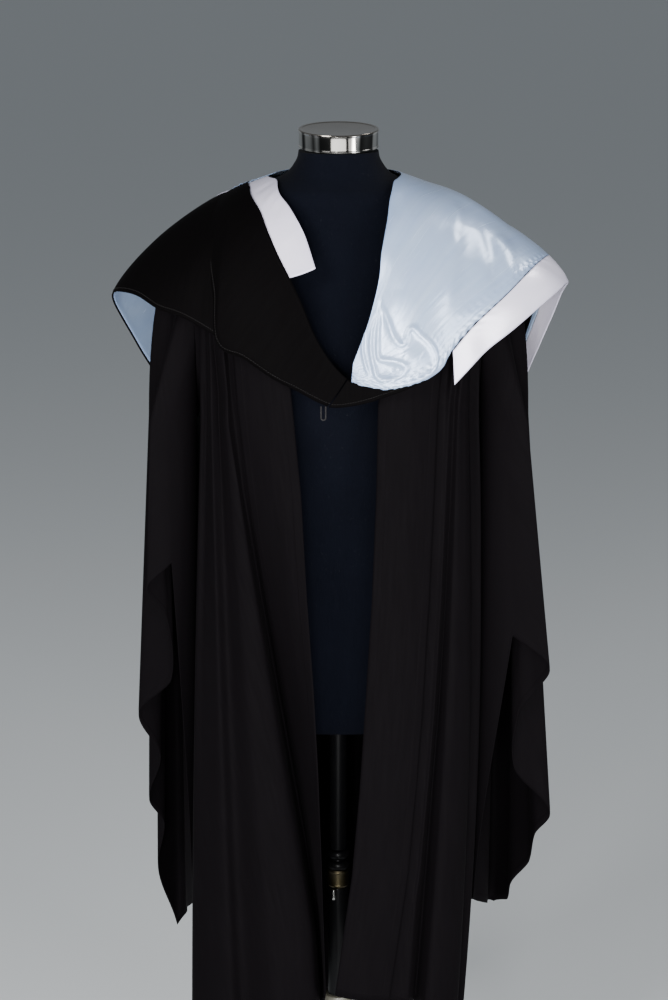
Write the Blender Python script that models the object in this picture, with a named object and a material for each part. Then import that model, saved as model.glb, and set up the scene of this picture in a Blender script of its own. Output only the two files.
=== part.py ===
"""A graduation gown with its hood, worn open on a limbless dress form on a stand.

Units are metres, +Z is up and the garment faces -Y. "right" and "left" are the
wearer's own sides, so the right side lies at -X. The origin is on the floor,
under the middle of the stand.
"""

from math import cos, pi, radians, sin, sqrt, tau

import bmesh
import bpy
import numpy as np

# Driving dimensions
CLOTH = 0.0013
SATIN = 0.0013
SEAM_GAP = 0.0004
SIDES = {"right": -1, "left": 1}

# Heights of the gown's main lines
YOKE_Z = 1.240
UNDERARM_Z = 1.090
BACK_HEM_Z = 0.145
BAND_INNER_HEM_Z = 0.296
BAND_OUTER_HEM_Z = {"right": 0.242, "left": 0.284}

# The armhole is an oval in an upright plane
ARMHOLE_X = 0.1890
ARMHOLE_Z = 1.215
ARMHOLE_HALF_HEIGHT = 0.118
ARMHOLE_HALF_DEPTH = 0.078

# Stand
POLE_RADIUS = 0.0125
COLUMN_RADIUS = 0.0145
HUB_RADIUS = 0.020
BASE_RADIUS = 0.200
BASE_HEIGHT = 0.016
HUB_TOP_Z = 0.225
COLUMN_TOP_Z = 0.391
CAP_RADIUS = 0.0535
CAP_HEIGHT = 0.024
CAP_TILT = radians(5.3)

# Number of samples along and across the cloth
FOLD_STEPS = 3
BODY_ROWS = 10
SLEEVE_ROWS = 9
SLEEVE_HEAD_ROWS = 3
HOOD_STEPS = 2
BACK_STEPS = 5

# Back panel: number of pleats, their depth and the reach behind the middle
BACK_PLEATS = 11
PLEAT_DEPTH_TOP = 0.004
PLEAT_DEPTH_HEM = 0.024
BACK_REACH_TOP = 0.152
BACK_REACH_HEM = 0.178
BACK_SPREAD = 0.014
BACK_SQUARENESS = 2.4
# The back swells beside the sleeves, by a share that changes with height
BACK_FLARE = 0.046
FLARE_HEIGHTS = (0.340, 0.520, 1.015, 1.088)
FLARE_SHARES = (0.45, 1.0, 1.0, 0.0)

# Folds beside the band that keep at least this far apart
CROWDED_FOLDS = 5
FOLD_ROOM = 0.0062
# The front starts this far behind the band and this far in from its edge,
# and its first ridge stands this far outside the tuck
TUCK_GAP = 0.0021
TUCK_INSET = 0.0012
TUCK_ROOM = {"right": 0.0045, "left": 0.0064}

MATERIALS = {
    "gown_cloth": ((0.006, 0.005, 0.006), 0.85, 0.0),
    "hood_cloth": ((0.008, 0.007, 0.007), 0.80, 0.0),
    "satin_blue": ((0.50, 0.62, 0.80), 0.35, 0.0),
    "satin_lilac": ((0.76, 0.71, 0.84), 0.40, 0.0),
    "form_jersey": ((0.006, 0.008, 0.013), 0.90, 0.0),
    "cap_chrome": ((0.80, 0.79, 0.77), 0.08, 1.0),
    "stand_black": ((0.008, 0.008, 0.009), 0.20, 0.0),
    "stand_brass": ((0.20, 0.17, 0.10), 0.35, 1.0),
    "stand_steel": ((0.55, 0.54, 0.52), 0.25, 1.0),
    "stand_base": ((0.12, 0.12, 0.10), 0.45, 0.0),
}

# Dress form, from its flat bottom to the neck: height, half width, half depth, centre y
FORM_RINGS = (
    (0.650, 0.134, 0.086, 0.004),
    (0.656, 0.144, 0.092, 0.004),
    (0.740, 0.150, 0.095, 0.004),
    (0.820, 0.147, 0.094, 0.003),
    (0.930, 0.130, 0.090, 0.000),
    (1.030, 0.136, 0.099, -0.004),
    (1.120, 0.150, 0.116, -0.007),
    (1.190, 0.158, 0.117, -0.006),
    (1.260, 0.166, 0.101, 0.000),
    (1.310, 0.166, 0.088, 0.002),
    (1.340, 0.159, 0.079, 0.002),
    (1.362, 0.145, 0.073, 0.001),
    (1.382, 0.122, 0.068, -0.001),
    (1.394, 0.092, 0.061, -0.001),
    (1.405, 0.069, 0.056, -0.001),
    (1.422, 0.056, 0.053, -0.001),
    (1.434, 0.053, 0.053, -0.001),
)
FORM_SIDES = 28

# Front bands: height, inner edge x and y, outer edge x and y, x measured outwards
BAND_RIGHT = (
    (1.240, 0.072, -0.136, 0.142, -0.120),
    (1.120, 0.060, -0.147, 0.134, -0.128),
    (1.000, 0.049, -0.151, 0.121, -0.124),
    (0.860, 0.042, -0.152, 0.101, -0.110),
    (0.740, 0.034, -0.152, 0.083, -0.098),
    (0.620, 0.028, -0.152, 0.064, -0.088),
    (0.500, 0.024, -0.152, 0.045, -0.081),
    (0.390, 0.021, -0.152, 0.029, -0.078),
    (0.288, 0.018, -0.152, 0.022, -0.077),
)
BAND_LEFT = (
    (1.240, 0.066, -0.138, 0.142, -0.120),
    (1.120, 0.051, -0.150, 0.131, -0.131),
    (1.000, 0.049, -0.154, 0.127, -0.136),
    (0.860, 0.044, -0.155, 0.122, -0.138),
    (0.700, 0.035, -0.155, 0.114, -0.142),
    (0.590, 0.028, -0.156, 0.106, -0.146),
    (0.470, 0.018, -0.158, 0.096, -0.150),
    (0.380, 0.006, -0.160, 0.084, -0.154),
    (0.288, -0.006, -0.162, 0.071, -0.158),
)
BANDS = {"right": BAND_RIGHT, "left": BAND_LEFT}

# Fold lines of each front, from the band to the side seam: x and y at the
# underarm, x and y at the hem, hem height. x is measured outwards. The first
# row is the shaded tuck beside the band, as steps away from the band's edge.
FRONT_RIGHT = (
    (0.0035, 0.005, 0.002, 0.004, 0.244),
    (0.145, -0.132, 0.020, -0.134, 0.272),
    (0.151, -0.126, 0.080, -0.150, 0.266),
    (0.157, -0.113, 0.127, -0.130, 0.256),
    (0.167, -0.119, 0.150, -0.142, 0.246),
    (0.173, -0.100, 0.190, -0.120, 0.228),
    (0.182, -0.096, 0.206, -0.092, 0.212),
    (0.178, -0.056, 0.190, -0.046, 0.192),
)
FRONT_LEFT = (
    (0.005, 0.005, 0.008, 0.006, 0.280),
    (0.142, -0.129, 0.096, -0.150, 0.276),
    (0.149, -0.123, 0.106, -0.126, 0.272),
    (0.156, -0.129, 0.119, -0.151, 0.266),
    (0.163, -0.122, 0.140, -0.149, 0.256),
    (0.170, -0.110, 0.164, -0.128, 0.242),
    (0.172, -0.090, 0.160, -0.098, 0.230),
    (0.185, -0.088, 0.174, -0.084, 0.212),
    (0.172, -0.056, 0.162, -0.046, 0.194),
)
FRONTS = {"right": FRONT_RIGHT, "left": FRONT_LEFT}
SIDE_SEAM_X = {"right": 0.184, "left": 0.176}
SIDE_HEM_Z = 0.184
SIDE_BULGE = {"right": 0.004, "left": 0.016}

# Fold lines of each sleeve, round the tube from the split in front: x and y at
# the underarm, x and y at the hem, hem height. x is measured outwards.
SLEEVE_RIGHT = (
    (0.224, -0.080, 0.2245, -0.080, 0.890),
    (0.250, -0.084, 0.259, -0.084, 0.854),
    (0.234, -0.062, 0.234, -0.062, 0.805),
    (0.230, -0.050, 0.230, -0.052, 0.714),
    (0.255, -0.034, 0.277, -0.038, 0.663),
    (0.238, -0.012, 0.250, -0.012, 0.590),
    (0.257, 0.010, 0.269, 0.014, 0.515),
    (0.240, 0.032, 0.250, 0.038, 0.470),
    (0.252, 0.054, 0.262, 0.064, 0.388),
    (0.234, 0.084, 0.238, 0.100, 0.285),
    (0.218, 0.072, 0.222, 0.084, 0.312),
    (0.219, 0.024, 0.218, 0.026, 0.345),
    (0.196, -0.018, 0.206, -0.016, 0.372),
    (0.192, -0.058, 0.204, -0.048, 0.394),
)
SLEEVE_LEFT = (
    (0.224, -0.080, 0.237, -0.070, 0.784),
    (0.250, -0.084, 0.2875, -0.074, 0.742),
    (0.244, -0.066, 0.272, -0.058, 0.702),
    (0.234, -0.054, 0.250, -0.046, 0.668),
    (0.233, -0.042, 0.246, -0.032, 0.578),
    (0.256, -0.026, 0.298, -0.020, 0.510),
    (0.238, -0.004, 0.280, 0.002, 0.468),
    (0.254, 0.018, 0.274, 0.026, 0.415),
    (0.238, 0.040, 0.252, 0.050, 0.375),
    (0.246, 0.064, 0.248, 0.076, 0.336),
    (0.228, 0.086, 0.230, 0.102, 0.322),
    (0.217, 0.070, 0.216, 0.088, 0.328),
    (0.219, 0.022, 0.214, 0.026, 0.352),
    (0.196, -0.018, 0.192, -0.012, 0.374),
    (0.192, -0.058, 0.190, -0.044, 0.390),
)
SLEEVES = {"right": SLEEVE_RIGHT, "left": SLEEVE_LEFT}
# Fold rows of each sleeve from the split round the outside to its back edge
SLEEVE_OUTER_FOLDS = {"right": 9, "left": 10}

# Yoke, from the front to the middle of the back: neckline, middle and outer point
YOKE_STATIONS = (
    ((0.066, -0.137, 1.240), (0.142, -0.1205, 1.240), (0.1885, -0.0763, 1.240)),
    ((0.086, -0.112, 1.292), (0.150, -0.096, 1.283), (0.1885, -0.0663, 1.277)),
    ((0.106, -0.070, 1.352), (0.156, -0.055, 1.334), (0.1885, -0.0399, 1.3163)),
    ((0.118, -0.020, 1.3860), (0.160, -0.008, 1.363), (0.1885, 0.000, 1.333)),
    ((0.108, 0.030, 1.387), (0.158, 0.040, 1.354), (0.1885, 0.0399, 1.3163)),
    ((0.080, 0.062, 1.388), (0.146, 0.090, 1.315), (0.1885, 0.0763, 1.240)),
    ((0.042, 0.074, 1.390), (0.085, 0.118, 1.310), (0.110, 0.139, 1.232)),
    ((0.000, 0.078, 1.390), (0.000, 0.128, 1.310), (0.000, 0.152, 1.230)),
)

# Shoulder surface that the hood lies on: profiles from the neck outwards and
# down, each at its own azimuth from the front, as radius and height.
SHOULDER_STEP = 45
LEFT_CORNER_RISE = 0.018
SHOULDER_PROFILES = (
    ((0.062, 1.402), (0.086, 1.370), (0.118, 1.310), (0.142, 1.240), (0.156, 1.160), (0.164, 1.080)),
    ((0.066, 1.404), (0.106, 1.382), (0.154, 1.342), (0.190, 1.285), (0.208, 1.220), (0.216, 1.140)),
    ((0.075, 1.404), (0.117, 1.388), (0.171, 1.368), (0.245, 1.314), (0.302, 1.247), (0.316, 1.180)),
    ((0.066, 1.404), (0.110, 1.386), (0.168, 1.350), (0.226, 1.274), (0.254, 1.130), (0.262, 0.960)),
    ((0.060, 1.404), (0.094, 1.382), (0.138, 1.328), (0.180, 1.220), (0.206, 1.040), (0.216, 0.820)),
)

# Hood pieces on the shoulder surface, a row for each station round the neck:
# azimuth and drop of the neck side, azimuth and drop of the outer side, lift
# above the surface. Azimuths past 180 go on round the back to the right side.
CAPE = (
    (-50, 0.50, -46, 0.835, 0.0000),
    (-58, 0.42, -58, 0.810, 0.0000),
    (-68, 0.38, -66, 0.810, 0.0000),
    (-78, 0.34, -75, 0.790, 0.0000),
    (-88, 0.32, -88, 0.810, 0.0000),
    (-97, 0.33, -98, 0.840, -0.0007),
    (-105, 0.34, -106, 0.870, -0.0023),
    (-113, 0.34, -113, 0.900, -0.0042),
    (-124, 0.34, -124, 0.930, -0.0052),
    (-140, 0.34, -140, 0.950, -0.0058),
    (-160, 0.34, -160, 0.965, -0.0058),
    (-180, 0.34, -180, 0.970, -0.0052),
    (-204, 0.34, -204, 0.960, -0.0052),
    (-226, 0.36, -226, 0.940, -0.0052),
    (-242, 0.38, -240, 0.900, -0.0052),
    (-256, 0.40, -252, 0.800, -0.0048),
)
SCARF = (
    (-92, 0.200, -96, 0.360, 0.0062),
    (-76, 0.220, -82, 0.400, 0.0066),
    (-60, 0.270, -68, 0.480, 0.0065),
    (-47, 0.320, -58, 0.570, 0.0060),
    (-38, 0.390, -51, 0.690, 0.0055),
    (-31, 0.460, -47, 0.850, 0.0050),
    (-24, 0.530, -38, 0.865, 0.0040),
    (-18, 0.600, -28, 0.880, 0.0040),
    (-12, 0.680, -18, 0.880, 0.0020),
    (-5, 0.745, -11, 0.885, 0.0005),
    (4, 0.810, -5, 0.890, -0.0005),
)
NECKBAND = (
    (4.3, 0.8115, -4.7, 0.8915, -0.0005),
    (9, 0.830, 5, 0.890, 0.0000),
    (16, 0.840, 17, 0.900, -0.0010),
    (26, 0.850, 26, 0.910, 0.0014),
    (35, 0.860, 35, 0.915, 0.0014),
)
PANEL = (
    (7, 0.765, 6, 0.820),
    (10, 0.720, 14, 0.855),
    (14, 0.660, 23, 0.890),
    (18, 0.580, 34, 0.910),
    (21, 0.510, 40, 0.900),
    (24, 0.420, 44, 0.860),
    (30, 0.320, 53, 0.800),
    (40, 0.200, 62, 0.755),
    (54, 0.110, 72, 0.715),
    (66, 0.080, 81, 0.700),
    (78, 0.060, 90, 0.705),
    (90, 0.045, 99, 0.730),
    (100, 0.040, 106, 0.785),
    (110, 0.035, 112, 0.840),
    (120, 0.035, 119, 0.885),
    (130, 0.030, 128, 0.890),
    (142, 0.030, 142, 0.860),
    (160, 0.030, 160, 0.800),
    (180, 0.030, 180, 0.750),
    (205, 0.030, 205, 0.650),
    (230, 0.035, 232, 0.470),
    (250, 0.045, 254, 0.290),
    (260, 0.060, 267, 0.150),
)
PANEL_LIFT = 0.0034
BORDER_WIDTH = 0.045
BORDER_FROM = 5
STRIP = (
    (-92, 0.100, -92, 0.250, 0.0034),
    (-80, 0.095, -82, 0.240, 0.0034),
    (-65, 0.100, -75, 0.235, 0.0030),
    (-45, 0.200, -58, 0.290, 0.0030),
    (-33, 0.260, -45, 0.335, 0.0025),
    (-21, 0.350, -33, 0.440, 0.0020),
    (-13, 0.460, -25, 0.530, 0.0015),
)
# The lining lies inside the outer half of the cape, over these of its stations
LINING_STATIONS = slice(3, 9)
LINING_DEPTH = 0.0022


# Curves and surfaces

def spline(points, fractions, closed=False):
    """Catmull-Rom points at fractions 0 to 1 of the way along the given rows."""
    points = np.asarray(points, float)
    count = len(points)
    spans = count if closed else count - 1
    result = []
    for fraction in fractions:
        place = fraction * spans
        index = min(int(place), spans - 1)
        t = place - index
        picks = [index - 1, index, index + 1, index + 2]
        if closed:
            a, b, c, d = (points[pick % count] for pick in picks)
        else:
            a, b, c, d = (points[min(max(pick, 0), count - 1)] for pick in picks)
        result.append(0.5 * (2 * b + (c - a) * t + (2 * a - 5 * b + 4 * c - d) * t ** 2
                             + (3 * b - a - 3 * c + d) * t ** 3))
    return np.array(result)


def blend(a, b, t):
    return (1 - t) * np.asarray(a, float) + t * np.asarray(b, float)


def shoulder(azimuth, drop):
    """Point of the shoulder surface; azimuth in degrees from the front, drop 0 to 1."""
    wrapped = (azimuth + 180.0) % 360.0 - 180.0
    side = -1 if wrapped < 0 else 1
    turn = abs(wrapped)
    profiles = [spline(profile, [drop])[0] for profile in SHOULDER_PROFILES]
    mirrored = [profiles[1]] + profiles + [profiles[-2]]
    place = turn / SHOULDER_STEP
    index = min(int(place), 3)
    radius, height = spline(mirrored[index:index + 4], [(1 + place - index) / 3])[0]
    if side > 0:
        toward_side = max(0.0, 1 - ((turn - 90) / 50) ** 2)
        height += LEFT_CORNER_RISE * toward_side * min(1.0, max(0.0, (radius - 0.225) / 0.075))
    angle = radians(turn)
    return np.array((side * radius * sin(angle), -radius * cos(angle), height))


def shoulder_normal(azimuth, drop):
    """Outward normal of the shoulder surface."""
    step = 0.01
    around = shoulder(azimuth + 1, drop) - shoulder(azimuth - 1, drop)
    down = shoulder(azimuth, min(drop + step, 1.0)) - shoulder(azimuth, max(drop - step, 0.0))
    normal = np.cross(down, around)
    return normal / np.linalg.norm(normal)


# Solids

def material(name):
    found = bpy.data.materials.get(name)
    if found:
        return found
    colour, roughness, metallic = MATERIALS[name]
    made = bpy.data.materials.new(name)
    made.use_nodes = True
    shader = made.node_tree.nodes["Principled BSDF"]
    shader.inputs["Base Color"].default_value = (*colour, 1.0)
    shader.inputs["Roughness"].default_value = roughness
    shader.inputs["Metallic"].default_value = metallic
    return made


def add_object(name, mesh, material_name, smooth_angle=40):
    mesh.materials.append(material(material_name))
    mesh.shade_smooth()
    mesh.set_sharp_from_angle(angle=radians(smooth_angle))
    made = bpy.data.objects.new(name, mesh)
    bpy.context.scene.collection.objects.link(made)
    return made


def surface_normals(grid, closed):
    """Outward normals of a grid whose rows run down and whose columns run round."""
    if closed:
        across = np.roll(grid, -1, axis=1) - np.roll(grid, 1, axis=1)
    else:
        across = np.gradient(grid, axis=1)
    down = np.gradient(grid, axis=0)
    normals = np.cross(across, down)
    return normals / np.linalg.norm(normals, axis=2, keepdims=True)


def flatten(normals, direction):
    """Turn normals square to a direction, so that a cut edge lies in one plane."""
    direction = np.asarray(direction, float)
    along = (normals * direction).sum(axis=-1, keepdims=True) * direction
    level = normals - along
    return level / np.linalg.norm(level, axis=-1, keepdims=True)


def wall_mesh(name, grid, thickness, normals, closed):
    """Closed wall whose outer face is the grid and whose inner face lies behind it."""
    rows, columns = grid.shape[:2]
    inner = grid - normals * thickness
    vertices = np.concatenate((grid.reshape(-1, 3), inner.reshape(-1, 3)))
    offset = rows * columns
    last = columns if closed else columns - 1
    faces = []
    for row in range(rows - 1):
        for column in range(last):
            a = row * columns + column
            b = row * columns + (column + 1) % columns
            c = b + columns
            d = a + columns
            faces += [(a, b, d), (b, c, d), (a + offset, d + offset, b + offset)]
            faces += [(b + offset, d + offset, c + offset)]
    for column in range(last):
        a = column
        b = (column + 1) % columns
        faces += [(a, a + offset, b), (b, a + offset, b + offset)]
        c = (rows - 1) * columns + a
        d = (rows - 1) * columns + b
        faces += [(c, d, c + offset), (d, d + offset, c + offset)]
    if not closed:
        for row in range(rows - 1):
            a = row * columns
            b = a + columns
            faces += [(a, b, a + offset), (b, b + offset, a + offset)]
            c = a + columns - 1
            d = c + columns
            faces += [(c, c + offset, d), (d, c + offset, d + offset)]
    mesh = bpy.data.meshes.new(name)
    mesh.from_pydata([tuple(vertex) for vertex in vertices], [], faces)
    return mesh


def add_wall(name, grid, material_name, thickness=CLOTH, closed=False, cuts=(), flip=False):
    """Cloth wall; cuts holds (rows, columns, direction) for edges cut in a plane."""
    grid = np.asarray(grid, float)
    if flip:
        grid = grid[:, ::-1]
    normals = surface_normals(grid, closed)
    for rows, columns, direction in cuts:
        normals[rows, columns] = flatten(normals[rows, columns], direction)
    mesh = wall_mesh(name, grid, thickness, normals, closed)
    turn_out(mesh)
    return add_object(name, mesh, material_name, 180)


def turn_out(mesh):
    """Turn every face of a closed mesh outwards."""
    work = bmesh.new()
    work.from_mesh(mesh)
    bmesh.ops.recalc_face_normals(work, faces=work.faces)
    if work.calc_volume(signed=True) < 0:
        bmesh.ops.reverse_faces(work, faces=work.faces)
    work.to_mesh(mesh)
    work.free()


def add_turned(name, profile, material_name, segments=32):
    """Solid turned about the Z axis from (radius, height) pairs, bottom to top."""
    work = bmesh.new()
    rings = []
    for radius, height in profile:
        turns = [tau * step / segments for step in range(segments)]
        ring = [(radius * cos(turn), radius * sin(turn), height) for turn in turns]
        rings.append([work.verts.new(point) for point in ring])
    for low, high in zip(rings, rings[1:]):
        for step in range(segments):
            following = (step + 1) % segments
            work.faces.new((low[step], low[following], high[following], high[step]))
    work.faces.new(rings[0][::-1])
    work.faces.new(rings[-1])
    mesh = bpy.data.meshes.new(name)
    work.to_mesh(mesh)
    work.free()
    return add_object(name, mesh, material_name)


# Dress form and stand

def form_ring(height, half_width, half_depth, centre):
    """One level of the form, a little squarer than an ellipse."""
    squareness = 2.0 / 2.3
    ring = []
    for step in range(FORM_SIDES):
        turn = tau * step / FORM_SIDES
        x = half_width * abs(cos(turn)) ** squareness * (1 if cos(turn) >= 0 else -1)
        y = half_depth * abs(sin(turn)) ** squareness * (1 if sin(turn) >= 0 else -1)
        ring.append((x, centre + y, height))
    return ring


def build_form():
    work = bmesh.new()
    rings = [[work.verts.new(point) for point in form_ring(*row)] for row in FORM_RINGS]
    for low, high in zip(rings, rings[1:]):
        for step in range(FORM_SIDES):
            following = (step + 1) % FORM_SIDES
            work.faces.new((low[step], low[following], high[following], high[step]))
    work.faces.new(rings[0][::-1])
    work.faces.new(rings[-1])
    bmesh.ops.triangulate(work, faces=work.faces)
    mesh = bpy.data.meshes.new("form_torso")
    work.to_mesh(mesh)
    work.free()
    add_object("form_torso", mesh, "form_jersey")

    lip = 0.0015
    profile = (
        (CAP_RADIUS - lip, 0.0),
        (CAP_RADIUS, lip),
        (CAP_RADIUS, CAP_HEIGHT - lip),
        (CAP_RADIUS - lip, CAP_HEIGHT),
    )
    cap = add_turned("neck_cap", profile, "cap_chrome", 40)
    neck_top = FORM_RINGS[-1][0]
    front_drop = CAP_RADIUS * sin(CAP_TILT)
    cap.location = (0.0, -0.001, neck_top + front_drop + SEAM_GAP)
    cap.rotation_euler = (CAP_TILT, 0.0, 0.0)


def build_stand():
    torso_bottom = FORM_RINGS[0][0]
    bead_radius = 0.0165
    bead_waist = 0.0105
    bead_steps = 5
    bead_height = 0.013
    bead_space = 0.004
    pole_foot = 0.4475
    pole_profile = ((POLE_RADIUS, pole_foot), (POLE_RADIUS, torso_bottom - SEAM_GAP))
    add_turned("stand_pole", pole_profile, "stand_black", 20)
    bead_tops = (pole_foot - SEAM_GAP, pole_foot - bead_height - bead_space)
    for number, top in enumerate(bead_tops, 1):
        profile = []
        for step in range(bead_steps + 1):
            turn = pi * step / bead_steps
            radius = bead_waist + (bead_radius - bead_waist) * sin(turn)
            profile.append((radius, top - bead_height * (1 + cos(turn)) / 2))
        add_turned(f"stand_bead_{number}", profile, "stand_black", 16)
    spacer_profile = (
        (bead_waist, bead_tops[1] + SEAM_GAP),
        (bead_waist, bead_tops[0] - bead_height - SEAM_GAP),
    )
    add_turned("stand_spacer", spacer_profile, "stand_black", 16)

    clamp_radius = 0.0155
    bevel = 0.003
    clamp_top = bead_tops[1] - bead_height - SEAM_GAP
    clamp_profile = (
        (clamp_radius - bevel / 2, COLUMN_TOP_Z + SEAM_GAP),
        (clamp_radius, COLUMN_TOP_Z + bevel),
        (clamp_radius, clamp_top - bevel),
        (clamp_radius - bevel / 2, clamp_top),
    )
    add_turned("stand_clamp", clamp_profile, "stand_brass", 24)
    lever_radius = 0.0030
    lever_length = 0.016
    lever_tip = 0.0022
    lever_profile = ((lever_tip, 0.0), (lever_radius, 0.004), (lever_radius, lever_length))
    lever = add_turned("clamp_lever", lever_profile, "stand_steel", 12)
    lever_x = -0.0065
    lever_y = -sqrt(COLUMN_RADIUS ** 2 - lever_x ** 2) - lever_radius - 1.5 * SEAM_GAP
    lever.location = (lever_x, lever_y, COLUMN_TOP_Z - lever_length - SEAM_GAP)
    column_profile = ((COLUMN_RADIUS, HUB_TOP_Z + SEAM_GAP), (COLUMN_RADIUS, COLUMN_TOP_Z))
    add_turned("stand_column", column_profile, "stand_black", 24)

    hub_foot_radius = HUB_RADIUS + 0.012
    hub_neck_radius = HUB_RADIUS + 0.004
    hub_profile = (
        (hub_foot_radius, BASE_HEIGHT + SEAM_GAP),
        (hub_neck_radius, BASE_HEIGHT + 0.014),
        (HUB_RADIUS, BASE_HEIGHT + 0.030),
        (HUB_RADIUS, HUB_TOP_Z - bevel),
        (HUB_RADIUS - bevel, HUB_TOP_Z),
    )
    add_turned("stand_hub", hub_profile, "stand_base", 24)
    rim = 0.004
    base_profile = (
        (BASE_RADIUS, 0.0),
        (BASE_RADIUS, BASE_HEIGHT - rim),
        (BASE_RADIUS - rim, BASE_HEIGHT),
    )
    add_turned("stand_base", base_profile, "stand_base", 48)


# Gown

def armhole_depth(height):
    """Half depth of the armhole oval at a height, 0 below it."""
    level = (height - ARMHOLE_Z) / ARMHOLE_HALF_HEIGHT
    return ARMHOLE_HALF_DEPTH * sqrt(max(0.0, 1 - level * level))


def side_point(side, facing, height, hem_x):
    """Side edge of a panel: round the armhole, then straight down the side seam."""
    depth = armhole_depth(height)
    bottom = ARMHOLE_Z - ARMHOLE_HALF_HEIGHT
    if height >= bottom:
        x = ARMHOLE_X - SEAM_GAP
    else:
        x = blend(ARMHOLE_X - SEAM_GAP, hem_x, (bottom - height) / (bottom - SIDE_HEM_Z))
    return np.array((SIDES[side] * x, facing * (depth + SEAM_GAP), height))


def fall(top, hem, row, rows):
    """Height of a row, closer together near the top."""
    t = row / (rows - 1)
    return top + (hem - top) * t ** 1.25


def band_edges(side, height):
    """Inner and outer edge of a front band at a height."""
    table = np.array(BANDS[side])[::-1]
    values = [np.interp(height, table[:, 0], table[:, column]) for column in range(1, 5)]
    sign = SIDES[side]
    return np.array((sign * values[0], values[1], height)), np.array((sign * values[2], values[3], height))


def build_band(side):
    columns = 6
    gap = np.array((SIDES[side] * SEAM_GAP, 0.0, 0.0))
    rows = BODY_ROWS + 2
    bow_depth = 0.006
    grid = []
    for row in range(rows):
        line = []
        for column in range(columns):
            across = column / (columns - 1)
            hem = blend(BAND_INNER_HEM_Z, BAND_OUTER_HEM_Z[side], across)
            height = fall(YOKE_Z - SEAM_GAP, hem, row, rows)
            inner, outer = band_edges(side, height)
            bow = bow_depth * sin(pi * across)
            line.append(blend(inner, outer - gap, across) + np.array((0.0, -bow, 0.0)))
        grid.append(line)
    cuts = [(0, slice(None), (0, 0, 1))]
    add_wall(f"gown_band_{side}", grid, "gown_cloth", cuts=cuts, flip=side == "left")


def yoke_line(side, across):
    """Point of the yoke's front edge, from the band to the armhole."""
    stations = [(0.1418, -0.1186), (0.158, -0.112), (0.174, -0.098), (ARMHOLE_X - SEAM_GAP, -0.0763)]
    x, y = spline(stations, [across])[0]
    return np.array((SIDES[side] * x, y, YOKE_Z - SEAM_GAP))


def build_front(side):
    table = np.array(FRONTS[side])
    sign = SIDES[side]
    folds = len(table)
    columns = (folds + 1) * FOLD_STEPS + 1
    hem_heights = [BAND_OUTER_HEM_Z[side], *table[:, 4], SIDE_HEM_Z]
    armhole_room = 0.007
    grid = []
    for row in range(BODY_ROWS):
        line = []
        for column in range(columns):
            across = column / (columns - 1)
            place = column / FOLD_STEPS
            hem = np.interp(place, range(folds + 2), hem_heights)
            height = fall(YOKE_Z - SEAM_GAP, hem, row, BODY_ROWS)
            down = (UNDERARM_Z - height) / (UNDERARM_Z - hem)
            bulge = SIDE_BULGE[side] * 4 * max(down, 0) * (1 - down)
            level = max(down, 0.0)
            seam = band_edges(side, height)[1]
            tuck = (blend(table[0, :2], table[0, 2:4], level) + (TUCK_GAP, 0.0)) * (sign, 1)
            stations = [seam + (-sign * TUCK_INSET, TUCK_GAP, 0.0), seam + (*tuck, 0.0)]
            for number, (x_top, y_top, x_hem, y_hem, _) in enumerate(table[1:], 2):
                share = number / (folds + 1)
                x = blend(x_top, x_hem, level) + bulge * share
                if number <= CROWDED_FOLDS:
                    room = TUCK_ROOM[side] if number == 2 else FOLD_ROOM
                    x = max(x, abs(stations[-1][0]) + room)
                y = min(blend(y_top, y_hem, level), -armhole_depth(height) - armhole_room)
                stations.append(np.array((sign * x, y, height)))
            stations.append(side_point(side, -1, height, SIDE_SEAM_X[side]))
            point = spline(stations, [across])[0]
            if height > UNDERARM_Z:
                start = (YOKE_Z - height) / (YOKE_Z - UNDERARM_Z)
                eased = 1 - (1 - start) ** 3
                smooth = yoke_line(side, across)
                smooth[2] = height
                edge = stations[0] if column == 0 else stations[-1]
                point = edge if column in (0, columns - 1) else blend(smooth, point, eased)
            point[2] = height
            line.append(point)
        grid.append(line)
    flip = side == "left"
    side_column = 0 if flip else -1
    cuts = [(0, slice(None), (0, 0, 1))]
    for row, line in enumerate(grid):
        in_armhole = line[-1][2] >= ARMHOLE_Z - ARMHOLE_HALF_HEIGHT
        cuts.append((row, side_column, (1, 0, 0) if in_armhole else (0, 1, 0)))
    add_wall(f"gown_front_{side}", grid, "gown_cloth", cuts=cuts, flip=flip)


def back_line(across):
    """Point of the back yoke seam, from the left armhole to the right one."""
    half = ((ARMHOLE_X - SEAM_GAP, 0.0763), (0.110, 0.139), (0.0, 0.152))
    stations = half + tuple((-x, y) for x, y in half[-2::-1])
    x, y = spline(stations, [across])[0]
    return np.array((x, y, YOKE_Z - SEAM_GAP))


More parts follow.
